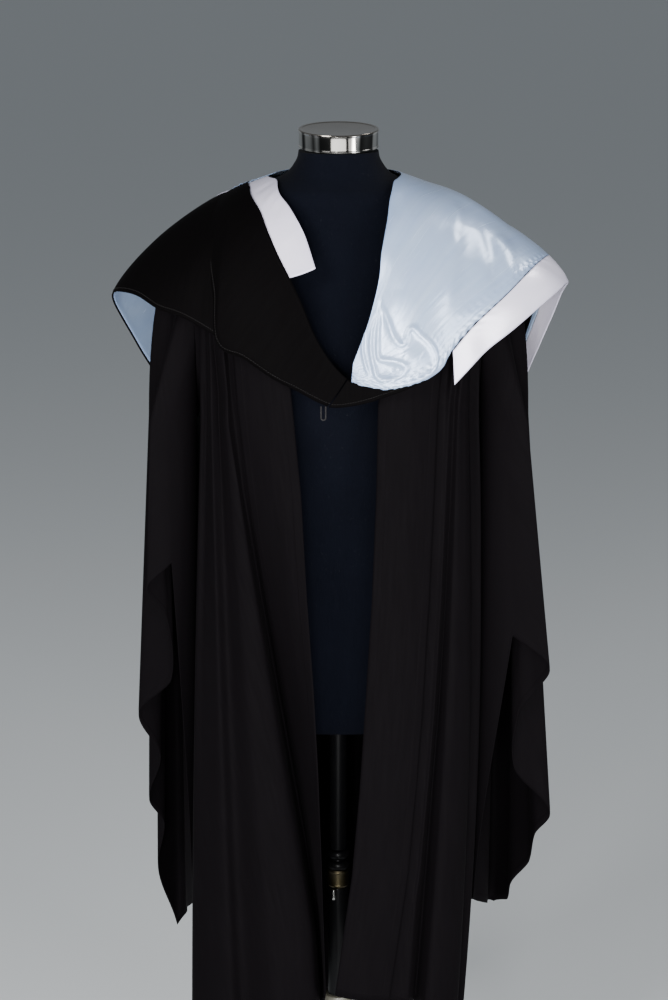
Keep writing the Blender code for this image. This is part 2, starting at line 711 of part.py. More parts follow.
def build_back():
    columns = BACK_PLEATS * BACK_STEPS + 1
    grid = []
    for row in range(BODY_ROWS):
        line = []
        for column in range(columns):
            across = column / (columns - 1)
            turn = pi * across
            hem = blend(SIDE_HEM_Z, BACK_HEM_Z, sin(turn))
            height = fall(YOKE_Z - SEAM_GAP, hem, row, BODY_ROWS)
            down = (YOKE_Z - height) / (YOKE_Z - hem)
            eased = 1 - (1 - min(1.0, down * 4)) ** 2
            side = "left" if across < 0.5 else "right"
            edge = side_point(side, 1, height, SIDE_SEAM_X[side])
            uneven = 0.45 * sin(turn * 3) + 0.30 * sin(turn * 5 + 1)
            phase = across * BACK_PLEATS * tau + uneven * sin(turn)
            depth = blend(PLEAT_DEPTH_TOP, PLEAT_DEPTH_HEM, down) * (0.5 - 0.5 * cos(phase))
            flare = BACK_FLARE * sin(2 * turn) ** 2 * np.interp(height, FLARE_HEIGHTS, FLARE_SHARES)
            half_width = abs(edge[0]) + BACK_SPREAD * sin(turn) - 0.5 * depth * sin(turn) + flare
            reach = blend(BACK_REACH_TOP, BACK_REACH_HEM, down ** 0.7) - depth
            power = BACK_SQUARENESS
            oval = (abs(cos(turn)) ** power + sin(turn) ** power) ** (1 / power)
            x = half_width * cos(turn) / oval
            y = edge[1] + (reach - edge[1]) * sin(turn) / oval
            point = blend(back_line(across), (x, y, height), eased)
            point[2] = height
            if column in (0, columns - 1):
                point = edge
            line.append(point)
        grid.append(line)
    cuts = [(0, slice(None), (0, 0, 1))]
    for row, line in enumerate(grid):
        in_armhole = line[0][2] >= ARMHOLE_Z - ARMHOLE_HALF_HEIGHT
        for end in (0, -1):
            cuts.append((row, end, (1, 0, 0) if in_armhole else (0, 1, 0)))
    add_wall("gown_back", grid, "gown_cloth", cuts=cuts, flip=True)


def build_yoke():
    half = [np.array(station) for station in YOKE_STATIONS]
    mirror = np.array((-1, 1, 1))
    stations = [station * mirror for station in half] + half[-2::-1]
    columns = 4 * (len(stations) - 1) // 2 + 1
    rows = 6
    grid = np.zeros((rows, columns, 3))
    fractions = [column / (columns - 1) for column in range(columns)]
    curves = [spline([station[part] for station in stations], fractions) for part in range(3)]
    cuts = [(slice(None), 0, (0, 0, 1)), (slice(None), -1, (0, 0, 1))]
    back_start = 5
    back_spans = 4
    for column, fraction in enumerate(fractions):
        neck, middle, outer = (curve[column] for curve in curves)
        place = fraction * (len(stations) - 1)
        if back_start <= place <= back_start + back_spans:
            outer = back_line(1 - (place - back_start) / back_spans)
            outer[2] = YOKE_Z + SEAM_GAP
            cuts.append((-1, column, (0, 0, 1)))
            if place in (back_start, back_start + back_spans):
                cuts.append((-1, column, (1, 0, 0)))
        else:
            outer[0] = np.sign(outer[0]) * (ARMHOLE_X - SEAM_GAP)
            outer[2] = max(outer[2], YOKE_Z + SEAM_GAP)
            cuts.append((-1, column, (1, 0, 0)))
        for row in range(rows):
            t = row / (rows - 1)
            near = neck * (1 - t) * (1 - 2 * t)
            centre = middle * 4 * t * (1 - t)
            grid[row, column] = near + centre + outer * t * (2 * t - 1)
    grid[:, 0, 2] = YOKE_Z + SEAM_GAP
    grid[:, -1, 2] = YOKE_Z + SEAM_GAP
    add_wall("gown_yoke", grid, "gown_cloth", cuts=cuts, flip=True)


def armhole_point(side, turn):
    """Point on the sleeve's end of the armhole; turn 0 is the front, pi/2 the top."""
    y = -ARMHOLE_HALF_DEPTH * cos(turn)
    z = ARMHOLE_Z + ARMHOLE_HALF_HEIGHT * sin(turn)
    return np.array((SIDES[side] * ARMHOLE_X, y, z))


def build_sleeve(side):
    table = np.array(SLEEVES[side])
    sign = SIDES[side]
    folds = len(table)
    columns = folds * FOLD_STEPS
    fractions = [column / columns for column in range(columns)]
    upper = spline(table[:, :2], fractions, closed=True)
    lower = spline(table[:, 2:4], fractions, closed=True)
    places = [fraction * folds for fraction in fractions]
    hems = np.interp(places, range(folds + 1), [*table[:, 4], table[0, 4]])
    outer_folds = SLEEVE_OUTER_FOLDS[side]
    top_z = UNDERARM_Z - 0.006
    grid = []
    for row in range(SLEEVE_ROWS + SLEEVE_HEAD_ROWS):
        line = []
        for column, place in enumerate(places):
            if place <= outer_folds:
                turn = pi * place / outer_folds
            else:
                turn = pi + pi * (place - outer_folds) / (folds - outer_folds)
            rim = armhole_point(side, turn)
            start = np.array((sign * upper[column][0], upper[column][1], top_z))
            end = np.array((sign * lower[column][0], lower[column][1], hems[column]))
            if row < SLEEVE_HEAD_ROWS:
                t = row / SLEEVE_HEAD_ROWS
                reach = max(0.0, sin(turn))
                corner_x = blend(rim[0], start[0], 0.35 + 0.6 * reach)
                corner_z = blend(start[2], rim[2], 0.5 + 0.45 * reach)
                corner = np.array((corner_x, start[1], corner_z))
                point = rim * (1 - t) ** 2 + corner * 2 * t * (1 - t) + start * t * t
            else:
                t = (row - SLEEVE_HEAD_ROWS) / (SLEEVE_ROWS - 1)
                point = blend(start, end, t)
            line.append(point)
        grid.append(line)
    cuts = [(0, slice(None), (1, 0, 0))]
    flip = side == "right"
    add_wall(f"gown_sleeve_{side}", grid, "gown_cloth", closed=True, cuts=cuts, flip=flip)


# Hood

def add_hood_piece(name, table, material_name, thickness, rows, start=0.0, end=1.0):
    """Wall on the shoulder surface between the two outlines of a station table."""
    table = np.array(table, float)
    places = np.linspace(0, len(table) - 1, (len(table) - 1) * HOOD_STEPS + 1)
    grid = []
    normals = []
    for place in places:
        near_turn, near_drop, far_turn, far_drop, lift = (
            np.interp(place, range(len(table)), table[:, column]) for column in range(5)
        )
        line = []
        line_normals = []
        for row in range(rows):
            t = blend(start, end, row / (rows - 1))
            azimuth = blend(near_turn, far_turn, t)
            drop = blend(near_drop, far_drop, t)
            normal = shoulder_normal(azimuth, drop)
            line.append(shoulder(azimuth, drop) + normal * lift)
            line_normals.append(normal)
        grid.append(line)
        normals.append(line_normals)
    grid = np.array(grid).transpose(1, 0, 2)
    normals = np.array(normals).transpose(1, 0, 2)
    mesh = wall_mesh(name, grid, thickness, normals, False)
    turn_out(mesh)
    return add_object(name, mesh, material_name, 180)


def drop_for_length(azimuth, start, length):
    """Drop reached by going a length down the surface from a starting drop."""
    drop = start
    step = 0.004
    travelled = 0.0
    while travelled < length and drop < 0.99:
        travelled += np.linalg.norm(shoulder(azimuth, drop + step) - shoulder(azimuth, drop))
        drop += step
    return drop


def border_table():
    """Stations of the border, which starts at the panel's outer seam."""
    profile_length = 0.35
    seam = 2.2 * SEAM_GAP / profile_length
    rows = []
    for _, _, azimuth, drop in PANEL[BORDER_FROM:]:
        far_drop = drop_for_length(azimuth, drop, BORDER_WIDTH)
        rows.append((azimuth, drop + seam, azimuth, far_drop, PANEL_LIFT))
    return rows


def build_loop():
    """Cord loop under the tip of the hood's V, sewn on at both ends."""
    cord = 0.0010
    width = 0.006
    drop = 0.018
    below_hem = 0.0034
    tip = shoulder(-7, 0.885) + np.array((0.0, 0.0, -below_hem))
    curve = bpy.data.curves.new("hood_loop", "CURVE")
    curve.dimensions = "3D"
    curve.bevel_depth = cord
    curve.bevel_resolution = 2
    curve.use_fill_caps = True
    spline_points = []
    steps = 8
    for step in range(steps + 1):
        turn = pi * step / steps
        x = -0.5 * width * cos(turn)
        z = -(drop - 0.5 * width) - 0.5 * width * sin(turn)
        spline_points.append((tip[0] + x, tip[1], tip[2] + z))
    spline_points.insert(0, (tip[0] - 0.5 * width, tip[1], tip[2]))
    spline_points.append((tip[0] + 0.5 * width, tip[1], tip[2]))
    line = curve.splines.new("POLY")
    line.points.add(len(spline_points) - 1)
    for point, place in zip(line.points, spline_points):
        point.co = (*place, 1.0)
    made = bpy.data.objects.new("hood_loop", curve)
    curve.materials.append(material("hood_cloth"))
    bpy.context.scene.collection.objects.link(made)


def build_hood():
    cape_rows = 11
    add_hood_piece("hood_cape", CAPE, "hood_cloth", CLOTH, cape_rows)
    lining = np.array(CAPE[LINING_STATIONS]) - (0, 0, 0, 0, LINING_DEPTH)
    add_hood_piece("hood_lining", lining, "satin_blue", SATIN, cape_rows // 2 + 1, 0.5, 0.99)
    add_hood_piece("hood_scarf", SCARF, "hood_cloth", CLOTH, 6)
    add_hood_piece("hood_neckband", NECKBAND, "hood_cloth", CLOTH, 3)
    panel = [(*row, PANEL_LIFT) for row in PANEL]
    add_hood_piece("hood_panel", panel, "satin_blue", SATIN, 8)
    add_hood_piece("hood_border", border_table(), "satin_lilac", SATIN, 3)
    add_hood_piece("hood_strip", STRIP, "satin_lilac", SATIN, 3)
    build_loop()


for item in list(bpy.data.objects):
    bpy.data.objects.remove(item, do_unlink=True)

build_form()
build_stand()
build_yoke()
build_back()
for name in SIDES:
    build_band(name)
    build_front(name)
    build_sleeve(name)
build_hood()
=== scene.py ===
"""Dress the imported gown, hood and dress form with cloth, satin and metal.

Everything is in metres in the part's own frame: +Z up, the garment faces -Y and
the wearer's right side lies at -X.
"""

from math import cos, pi, radians, sin, sqrt, tau

import bpy
import numpy as np
from bpy.props import FloatProperty, FloatVectorProperty, PointerProperty
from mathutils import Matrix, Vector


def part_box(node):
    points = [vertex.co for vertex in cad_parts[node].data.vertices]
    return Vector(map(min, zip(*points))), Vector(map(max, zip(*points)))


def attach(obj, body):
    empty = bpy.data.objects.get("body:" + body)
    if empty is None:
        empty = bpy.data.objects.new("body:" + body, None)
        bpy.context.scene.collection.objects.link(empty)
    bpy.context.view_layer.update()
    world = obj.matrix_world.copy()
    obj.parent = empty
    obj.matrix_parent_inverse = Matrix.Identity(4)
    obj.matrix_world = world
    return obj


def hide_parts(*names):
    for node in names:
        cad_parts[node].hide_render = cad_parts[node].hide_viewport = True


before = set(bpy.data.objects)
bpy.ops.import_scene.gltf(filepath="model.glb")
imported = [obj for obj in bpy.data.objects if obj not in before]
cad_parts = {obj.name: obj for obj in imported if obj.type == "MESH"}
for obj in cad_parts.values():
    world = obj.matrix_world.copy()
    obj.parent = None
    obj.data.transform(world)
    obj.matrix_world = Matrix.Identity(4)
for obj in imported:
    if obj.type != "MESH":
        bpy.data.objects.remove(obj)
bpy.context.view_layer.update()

bl_info = {
    "name": "Graduation gown",
    "version": (1, 0, 0),
    "blender": (4, 5, 0),
    "location": "3D View > Sidebar > Gown",
    "description": "Dresses an open gown with its hood on a dress form",
    "category": "Object",
}

CLOTH = 0.0011
SATIN = 0.0009
SIDES = {"right": -1, "left": 1}

YOKE_Z = 1.240
UNDERARM_Z = 1.090
BACK_HEM_Z = 0.145
BAND_INNER_HEM_Z = 0.296
BAND_OUTER_HEM_Z = {"right": 0.242, "left": 0.284}
SEAM_GAP = 0.0004
ARMHOLE_X = 0.1890
ARMHOLE_Z = 1.215
ARMHOLE_HALF_HEIGHT = 0.118
ARMHOLE_HALF_DEPTH = 0.078

# Dress form: height, half width, half depth, centre y
FORM_RINGS = (
    (0.650, 0.134, 0.086, 0.004),
    (0.656, 0.144, 0.092, 0.004),
    (0.740, 0.150, 0.095, 0.004),
    (0.820, 0.147, 0.094, 0.003),
    (0.930, 0.130, 0.090, 0.000),
    (1.030, 0.136, 0.099, -0.004),
    (1.120, 0.150, 0.116, -0.007),
    (1.190, 0.158, 0.117, -0.006),
    (1.260, 0.166, 0.101, 0.000),
    (1.310, 0.166, 0.088, 0.002),
    (1.340, 0.159, 0.079, 0.002),
    (1.362, 0.145, 0.073, 0.001),
    (1.382, 0.122, 0.068, -0.001),
    (1.394, 0.092, 0.061, -0.001),
    (1.405, 0.069, 0.056, -0.001),
    (1.422, 0.056, 0.053, -0.001),
    (1.434, 0.053, 0.053, -0.001),
)

FORM_SQUARENESS = 2.3
CAP_RADIUS = 0.0535
CAP_HEIGHT = 0.024
CAP_TILT = radians(5.3)
CAP_Y = -0.001
BEAD_WAIST = 0.0105
BEAD_BELLY = 0.0165
HUB_FOOT_RADIUS = 0.0312
HUB_NECK_RADIUS = 0.020
HUB_FOOT_EDGE = 0.003
HUB_COVE_HEIGHT = 0.027

# Softboxes: name, place, aim, width, height, power
SOFTBOXES = (
    ("key_softbox", (-1.9, -2.6, 2.6), (0.05, 0.0, 1.15), 1.3, 1.6, 118.0),
    ("fill_softbox", (2.2, -2.7, 1.1), (0.0, 0.0, 1.15), 1.2, 1.8, 90.0),
    ("front_softbox", (-0.33, -3.5, 1.52), (0.1, 0.0, 1.2), 0.45, 0.38, 56.0),
    ("low_softbox", (0.0, -3.3, 0.55), (0.0, 0.0, 1.25), 2.6, 0.7, 135.0),
    ("side_softbox", (1.9, 0.3, 3.1), (0.2, 0.0, 1.25), 0.7, 0.7, 22.0),
)
STUDIO_COLOUR = (0.62, 0.66, 0.70, 1.0)
STUDIO_STRENGTH = 0.40
FLOOR_REACH = 60.0
CAMERA_X = -0.006
CAMERA_HEIGHT = 1.755
CAMERA_TILT = radians(76.0)
CAMERA_LENS = 86.6

# Front bands: height, inner edge x and y, outer edge x and y, x measured outwards
BANDS = {
    "right": (
        (1.240, 0.072, -0.136, 0.142, -0.120),
        (1.120, 0.060, -0.147, 0.134, -0.128),
        (1.000, 0.049, -0.151, 0.121, -0.124),
        (0.860, 0.042, -0.152, 0.101, -0.110),
        (0.740, 0.034, -0.152, 0.083, -0.098),
        (0.620, 0.028, -0.152, 0.064, -0.088),
        (0.500, 0.024, -0.152, 0.045, -0.081),
        (0.390, 0.021, -0.152, 0.029, -0.078),
        (0.288, 0.018, -0.152, 0.022, -0.077),
    ),
    "left": (
        (1.240, 0.066, -0.138, 0.142, -0.120),
        (1.120, 0.051, -0.150, 0.131, -0.131),
        (1.000, 0.049, -0.154, 0.127, -0.136),
        (0.860, 0.044, -0.155, 0.122, -0.138),
        (0.700, 0.035, -0.155, 0.114, -0.142),
        (0.590, 0.028, -0.156, 0.106, -0.146),
        (0.470, 0.018, -0.158, 0.096, -0.150),
        (0.380, 0.006, -0.160, 0.084, -0.154),
        (0.288, -0.006, -0.162, 0.071, -0.158),
    ),
}

# Fold lines of each front: x and y at the underarm, x and y at the hem, hem
# height. The first row is the tuck beside the band, as steps from its edge.
FRONTS = {
    "right": (
        (0.0035, 0.005, 0.002, 0.004, 0.244),
        (0.145, -0.132, 0.020, -0.134, 0.272),
        (0.151, -0.126, 0.080, -0.150, 0.266),
        (0.157, -0.113, 0.127, -0.130, 0.256),
        (0.167, -0.119, 0.150, -0.142, 0.246),
        (0.173, -0.100, 0.190, -0.120, 0.228),
        (0.182, -0.096, 0.206, -0.092, 0.212),
        (0.178, -0.056, 0.190, -0.046, 0.192),
    ),
    "left": (
        (0.005, 0.005, 0.008, 0.006, 0.280),
        (0.142, -0.129, 0.096, -0.150, 0.276),
        (0.149, -0.123, 0.106, -0.126, 0.272),
        (0.156, -0.129, 0.119, -0.151, 0.266),
        (0.163, -0.122, 0.140, -0.149, 0.256),
        (0.170, -0.110, 0.164, -0.128, 0.242),
        (0.172, -0.090, 0.160, -0.098, 0.230),
        (0.185, -0.088, 0.174, -0.084, 0.212),
        (0.172, -0.056, 0.162, -0.046, 0.194),
    ),
}
SIDE_SEAM_X = {"right": 0.184, "left": 0.176}
SIDE_HEM_Z = 0.184
SIDE_BULGE = {"right": 0.004, "left": 0.016}
CROWDED_FOLDS = 5
FOLD_ROOM = 0.0062
YOKE_FRONT_LINE = ((0.1418, -0.1186), (0.158, -0.112), (0.174, -0.098), (ARMHOLE_X - SEAM_GAP, -0.0763))
TUCK_GAP = 0.0021
TUCK_INSET = 0.0012
TUCK_ROOM = {"right": 0.0045, "left": 0.0064}

# Fold lines of each sleeve, round from the split in front: x and y at the
# underarm, x and y at the hem, hem height
SLEEVES = {
    "right": (
        (0.224, -0.080, 0.2245, -0.080, 0.890),
        (0.250, -0.084, 0.259, -0.084, 0.854),
        (0.234, -0.062, 0.234, -0.062, 0.805),
        (0.230, -0.050, 0.230, -0.052, 0.714),
        (0.255, -0.034, 0.277, -0.038, 0.663),
        (0.238, -0.012, 0.250, -0.012, 0.590),
        (0.257, 0.010, 0.269, 0.014, 0.515),
        (0.240, 0.032, 0.250, 0.038, 0.470),
        (0.252, 0.054, 0.262, 0.064, 0.388),
        (0.234, 0.084, 0.238, 0.100, 0.285),
        (0.218, 0.072, 0.222, 0.084, 0.312),
        (0.219, 0.024, 0.218, 0.026, 0.345),
        (0.196, -0.018, 0.206, -0.016, 0.372),
        (0.192, -0.058, 0.204, -0.048, 0.394),
    ),
    "left": (
        (0.224, -0.080, 0.237, -0.070, 0.784),
        (0.250, -0.084, 0.2875, -0.074, 0.742),
        (0.244, -0.066, 0.272, -0.058, 0.702),
        (0.234, -0.054, 0.250, -0.046, 0.668),
        (0.233, -0.042, 0.246, -0.032, 0.578),
        (0.256, -0.026, 0.298, -0.020, 0.510),
        (0.238, -0.004, 0.280, 0.002, 0.468),
        (0.254, 0.018, 0.274, 0.026, 0.415),
        (0.238, 0.040, 0.252, 0.050, 0.375),
        (0.246, 0.064, 0.248, 0.076, 0.336),
        (0.228, 0.086, 0.230, 0.102, 0.322),
        (0.217, 0.070, 0.216, 0.088, 0.328),
        (0.219, 0.022, 0.214, 0.026, 0.352),
        (0.196, -0.018, 0.192, -0.012, 0.374),
        (0.192, -0.058, 0.190, -0.044, 0.390),
    ),
}
SLEEVE_OUTER_FOLDS = {"right": 9, "left": 10}

# Back panel
BACK_PLEATS = 11
GATHERS = 46
GATHER_DEPTH = 0.0016
PLEAT_DEPTH_TOP = 0.004
PLEAT_DEPTH_HEM = 0.024
BACK_REACH_TOP = 0.152
BACK_REACH_HEM = 0.178
BACK_SPREAD = 0.014
BACK_FLARE = 0.046
FLARE_HEIGHTS = (0.340, 0.520, 1.045, 1.095)
FLARE_SHARES = (0.45, 1.0, 1.0, 0.0)
BACK_SQUARENESS = 2.4

# Yoke, from the front to the middle of the back: neckline, middle, outer point
YOKE_STATIONS = (
    ((0.066, -0.137, 1.240), (0.142, -0.1205, 1.240), (0.1885, -0.0763, 1.240)),
    ((0.086, -0.112, 1.292), (0.150, -0.096, 1.283), (0.1885, -0.0663, 1.277)),
    ((0.106, -0.070, 1.352), (0.156, -0.055, 1.334), (0.1885, -0.0399, 1.3163)),
    ((0.118, -0.020, 1.3860), (0.160, -0.008, 1.363), (0.1885, 0.000, 1.333)),
    ((0.108, 0.030, 1.387), (0.158, 0.040, 1.354), (0.1885, 0.0399, 1.3163)),
    ((0.080, 0.062, 1.388), (0.146, 0.090, 1.315), (0.1885, 0.0763, 1.240)),
    ((0.042, 0.074, 1.390), (0.085, 0.118, 1.310), (0.110, 0.139, 1.232)),
    ((0.000, 0.078, 1.390), (0.000, 0.128, 1.310), (0.000, 0.152, 1.230)),
)

# Shoulder surface under the hood: profiles of radius and height, 45 degrees apart
SHOULDER_STEP = 45
# The left corner stands higher: by how much, over how many degrees, from which
# radius and over what distance it sets in
LEFT_CORNER_RISE = 0.018
CORNER_SPREAD = 50
CORNER_FROM = 0.225
CORNER_REACH = 0.075
SHOULDER_PROFILES = (
    ((0.062, 1.402), (0.086, 1.370), (0.118, 1.310), (0.142, 1.240), (0.156, 1.160), (0.164, 1.080)),
    ((0.066, 1.404), (0.106, 1.382), (0.154, 1.342), (0.190, 1.285), (0.208, 1.220), (0.216, 1.140)),
    ((0.075, 1.404), (0.117, 1.388), (0.171, 1.368), (0.245, 1.314), (0.302, 1.247), (0.316, 1.180)),
    ((0.066, 1.404), (0.110, 1.386), (0.168, 1.350), (0.226, 1.274), (0.254, 1.130), (0.262, 0.960)),
    ((0.060, 1.404), (0.094, 1.382), (0.138, 1.328), (0.180, 1.220), (0.206, 1.040), (0.216, 0.820)),
)

# Hood pieces on that surface: azimuth and drop of the neck side, azimuth and
# drop of the outer side, lift above the surface
CAPE = (
    (-50, 0.50, -46, 0.835, 0.0000),
    (-58, 0.42, -58, 0.810, 0.0000),
    (-68, 0.38, -66, 0.810, 0.0000),
    (-78, 0.34, -75, 0.790, 0.0000),
    (-88, 0.32, -88, 0.810, 0.0000),
    (-97, 0.33, -98, 0.840, -0.0007),
    (-105, 0.34, -106, 0.870, -0.0023),
    (-113, 0.34, -113, 0.900, -0.0042),
    (-124, 0.34, -124, 0.930, -0.0052),
    (-140, 0.34, -140, 0.950, -0.0058),
    (-160, 0.34, -160, 0.965, -0.0058),
    (-180, 0.34, -180, 0.970, -0.0052),
    (-204, 0.34, -204, 0.960, -0.0052),
    (-226, 0.36, -226, 0.940, -0.0052),
    (-242, 0.38, -240, 0.900, -0.0052),
    (-256, 0.40, -252, 0.800, -0.0048),
)
SCARF = (
    (-92, 0.200, -96, 0.360, 0.0062),
    (-76, 0.220, -82, 0.400, 0.0066),
    (-60, 0.270, -68, 0.480, 0.0065),
    (-47, 0.320, -58, 0.570, 0.0060),
    (-38, 0.390, -51, 0.690, 0.0055),
    (-31, 0.460, -47, 0.850, 0.0050),
    (-24, 0.530, -38, 0.865, 0.0040),
    (-18, 0.600, -28, 0.880, 0.0040),
    (-12, 0.680, -18, 0.880, 0.0020),
    (-5, 0.745, -11, 0.885, 0.0005),
    (4, 0.810, -5, 0.890, -0.0005),
)
NECKBAND = (
    (4.3, 0.8115, -4.7, 0.8915, -0.0005),
    (9, 0.830, 5, 0.890, 0.0000),
    (16, 0.840, 17, 0.900, -0.0010),
    (26, 0.850, 26, 0.910, 0.0014),
    (35, 0.860, 35, 0.915, 0.0014),
)
PANEL = (
    (7, 0.765, 6, 0.820),
    (10, 0.720, 14, 0.855),
    (14, 0.660, 23, 0.890),
    (18, 0.580, 34, 0.910),
    (21, 0.510, 40, 0.900),
    (24, 0.420, 44, 0.860),
    (30, 0.320, 53, 0.800),
    (40, 0.200, 62, 0.755),
    (54, 0.110, 72, 0.715),
    (66, 0.080, 81, 0.700),
    (78, 0.060, 90, 0.705),
    (90, 0.045, 99, 0.730),
    (100, 0.040, 106, 0.785),
    (110, 0.035, 112, 0.840),
    (120, 0.035, 119, 0.885),
    (130, 0.030, 128, 0.890),
    (142, 0.030, 142, 0.860),
    (160, 0.030, 160, 0.800),
    (180, 0.030, 180, 0.750),
    (205, 0.030, 205, 0.650),
    (230, 0.035, 232, 0.470),
    (250, 0.045, 254, 0.290),
    (260, 0.060, 267, 0.150),
)
PANEL_LIFT = 0.0034
BORDER_WIDTH = 0.045
BORDER_FROM = 5
# How far the border sinks where it nears the far end, and between which azimuths
BORDER_SETTLE = 0.0030
BORDER_SETTLES = (215, 250)
STRIP = (
    (-92, 0.100, -92, 0.212, 0.0030),
    (-80, 0.095, -82, 0.210, 0.0032),
    (-65, 0.100, -75, 0.220, 0.0030),
    (-45, 0.200, -58, 0.290, 0.0030),
    (-33, 0.260, -45, 0.335, 0.0025),
    (-21, 0.350, -33, 0.440, 0.0020),
    (-13, 0.460, -25, 0.530, 0.0015),
)
LINING_STATIONS = slice(3, 9)
# Metres for each degree of azimuth and for the whole drop, where creases lie
HOOD_SCALE = (0.0032, 0.36)
HOOD_LENGTH = 0.35
# How far an edge rolls under and how wide the roll is, at shares of its length
ROLL_PLACES = (0.0, 0.26, 0.38, 0.50, 1.0)
SCARF_ROLL = ((0.0074, 0.0074, 0.0060, 0.0040, 0.0026), (0.060, 0.050, 0.022, 0.010, 0.008))
PANEL_ROLL = ((0.0016, 0.0012, 0.0008, 0.0, 0.0), (0.006, 0.006, 0.006, 0.005, 0.005))
LINING_DEPTH = 0.0022
PUCKER_REACH = 0.010

# Soft creases on the shoulder surface: start and end as azimuth and drop, half
# width and height in metres; a ridge is positive, a trough negative
PANEL_CREASES = (
    (73, 0.38, 59, 0.45, 0.010, 0.0016),
    (59, 0.45, 51, 0.54, 0.012, 0.0018),
    (51, 0.54, 44, 0.70, 0.012, 0.0018),
    (67, 0.48, 56, 0.58, 0.016, -0.0022),
    (55, 0.56, 48, 0.76, 0.018, -0.0024),
    (72, 0.50, 64, 0.62, 0.008, -0.0020),
    (65, 0.60, 61, 0.71, 0.007, -0.0016),
    (76, 0.54, 70, 0.64, 0.011, 0.0024),
    (71, 0.62, 65, 0.72, 0.009, 0.0018),
    (46, 0.18, 34, 0.31, 0.011, -0.0016),
    (37, 0.28, 27, 0.40, 0.009, 0.0012),
    (33, 0.42, 27, 0.58, 0.026, 0.0016),
    (44, 0.34, 37, 0.56, 0.022, -0.0012),
    (84, 0.34, 86, 0.62, 0.018, 0.0016),
    (98, 0.30, 101, 0.62, 0.015, -0.0016),
    (112, 0.26, 116, 0.74, 0.020, 0.0020),
    (126, 0.34, 128, 0.80, 0.016, -0.0020),
    (141, 0.22, 143, 0.76, 0.024, 0.0022),
    (158, 0.30, 161, 0.70, 0.018, -0.0018),
    (176, 0.20, 180, 0.66, 0.026, 0.0018),
    (196, 0.22, 198, 0.58, 0.018, -0.0016),
    (216, 0.14, 214, 0.46, 0.016, 0.0016),
)
# Curling ridges near the panel's point: half width, height, and the line they run on
PANEL_SWIRLS = (
    (0.0028, 0.0020, (
        (20.5, 0.60), (19.0, 0.66), (18.0, 0.73), (18.2, 0.78), (21.5, 0.803), (26.0, 0.83), (28.2, 0.852),
        (26.0, 0.866), (21.0, 0.858), (17.2, 0.835), (15.8, 0.79), (15.0, 0.735), (15.8, 0.685), (18.2, 0.640))),
    (0.0032, 0.0022, (
        (21.0, 0.625), (22.5, 0.676), (24.0, 0.730), (26.2, 0.768), (28.4, 0.776), (29.6, 0.745), (31.5, 0.738),
        (34.0, 0.776), (36.8, 0.818), (38.4, 0.858), (37.6, 0.888), (34.0, 0.903), (28.0, 0.898), (20.0, 0.875))),
    (0.0022, 0.0014, ((12.0, 0.68), (11.4, 0.73), (12.4, 0.78), (14.0, 0.82))),
    (0.0070, -0.0018, ((21.0, 0.825), (24.0, 0.842))),
    (0.0100, 0.0018, ((27.0, 0.815), (33.0, 0.850))),
)
BORDER_CREASES = (
    (48, 0.82, 50, 0.96, 0.012, 0.0012),
    (53, 0.82, 57, 0.92, 0.012, -0.0012),
    (62, 0.74, 66, 0.88, 0.016, 0.0014),
    (72, 0.68, 78, 0.86, 0.016, 0.0016),
    (80, 0.66, 86, 0.84, 0.010, -0.0010),
    (96, 0.72, 98, 0.86, 0.016, -0.0010),
    (118, 0.88, 120, 0.98, 0.014, 0.0010),
    (150, 0.84, 152, 0.96, 0.018, -0.0010),
    (188, 0.72, 190, 0.84, 0.016, 0.0010),
)
CAPE_CREASES = (
    (-52, 0.52, -54, 0.82, 0.010, -0.0008),
    (-60, 0.44, -62, 0.80, 0.014, 0.0012),
    (-70, 0.48, -73, 0.80, 0.010, -0.0010),
    (-84, 0.40, -86, 0.80, 0.018, 0.0013),
    (-100, 0.46, -102, 0.84, 0.014, -0.0012),
    (-118, 0.50, -120, 0.90, 0.018, 0.0016),
    (-136, 0.60, -138, 0.94, 0.014, -0.0014),
    (-154, 0.62, -157, 0.95, 0.020, 0.0018),
    (-172, 0.70, -174, 0.96, 0.016, -0.0016),
    (-190, 0.74, -189, 0.96, 0.014, 0.0014),
    (-212, 0.72, -210, 0.94, 0.018, -0.0014),
)
SCARF_CREASES = (
    (-66, 0.26, -60, 0.44, 0.010, 0.0008),
    (-50, 0.44, -44, 0.66, 0.014, 0.0010),
    (-40, 0.56, -34, 0.80, 0.016, -0.0010),
    (-26, 0.66, -22, 0.84, 0.012, 0.0008),
)
STRIP_CREASES = (
    (-66, 0.12, -62, 0.24, 0.010, -0.0010),
    (-52, 0.17, -48, 0.30, 0.008, 0.0009),
    (-42, 0.22, -38, 0.32, 0.008, -0.0009),
    (-26, 0.32, -29, 0.42, 0.010, 0.0009),
)

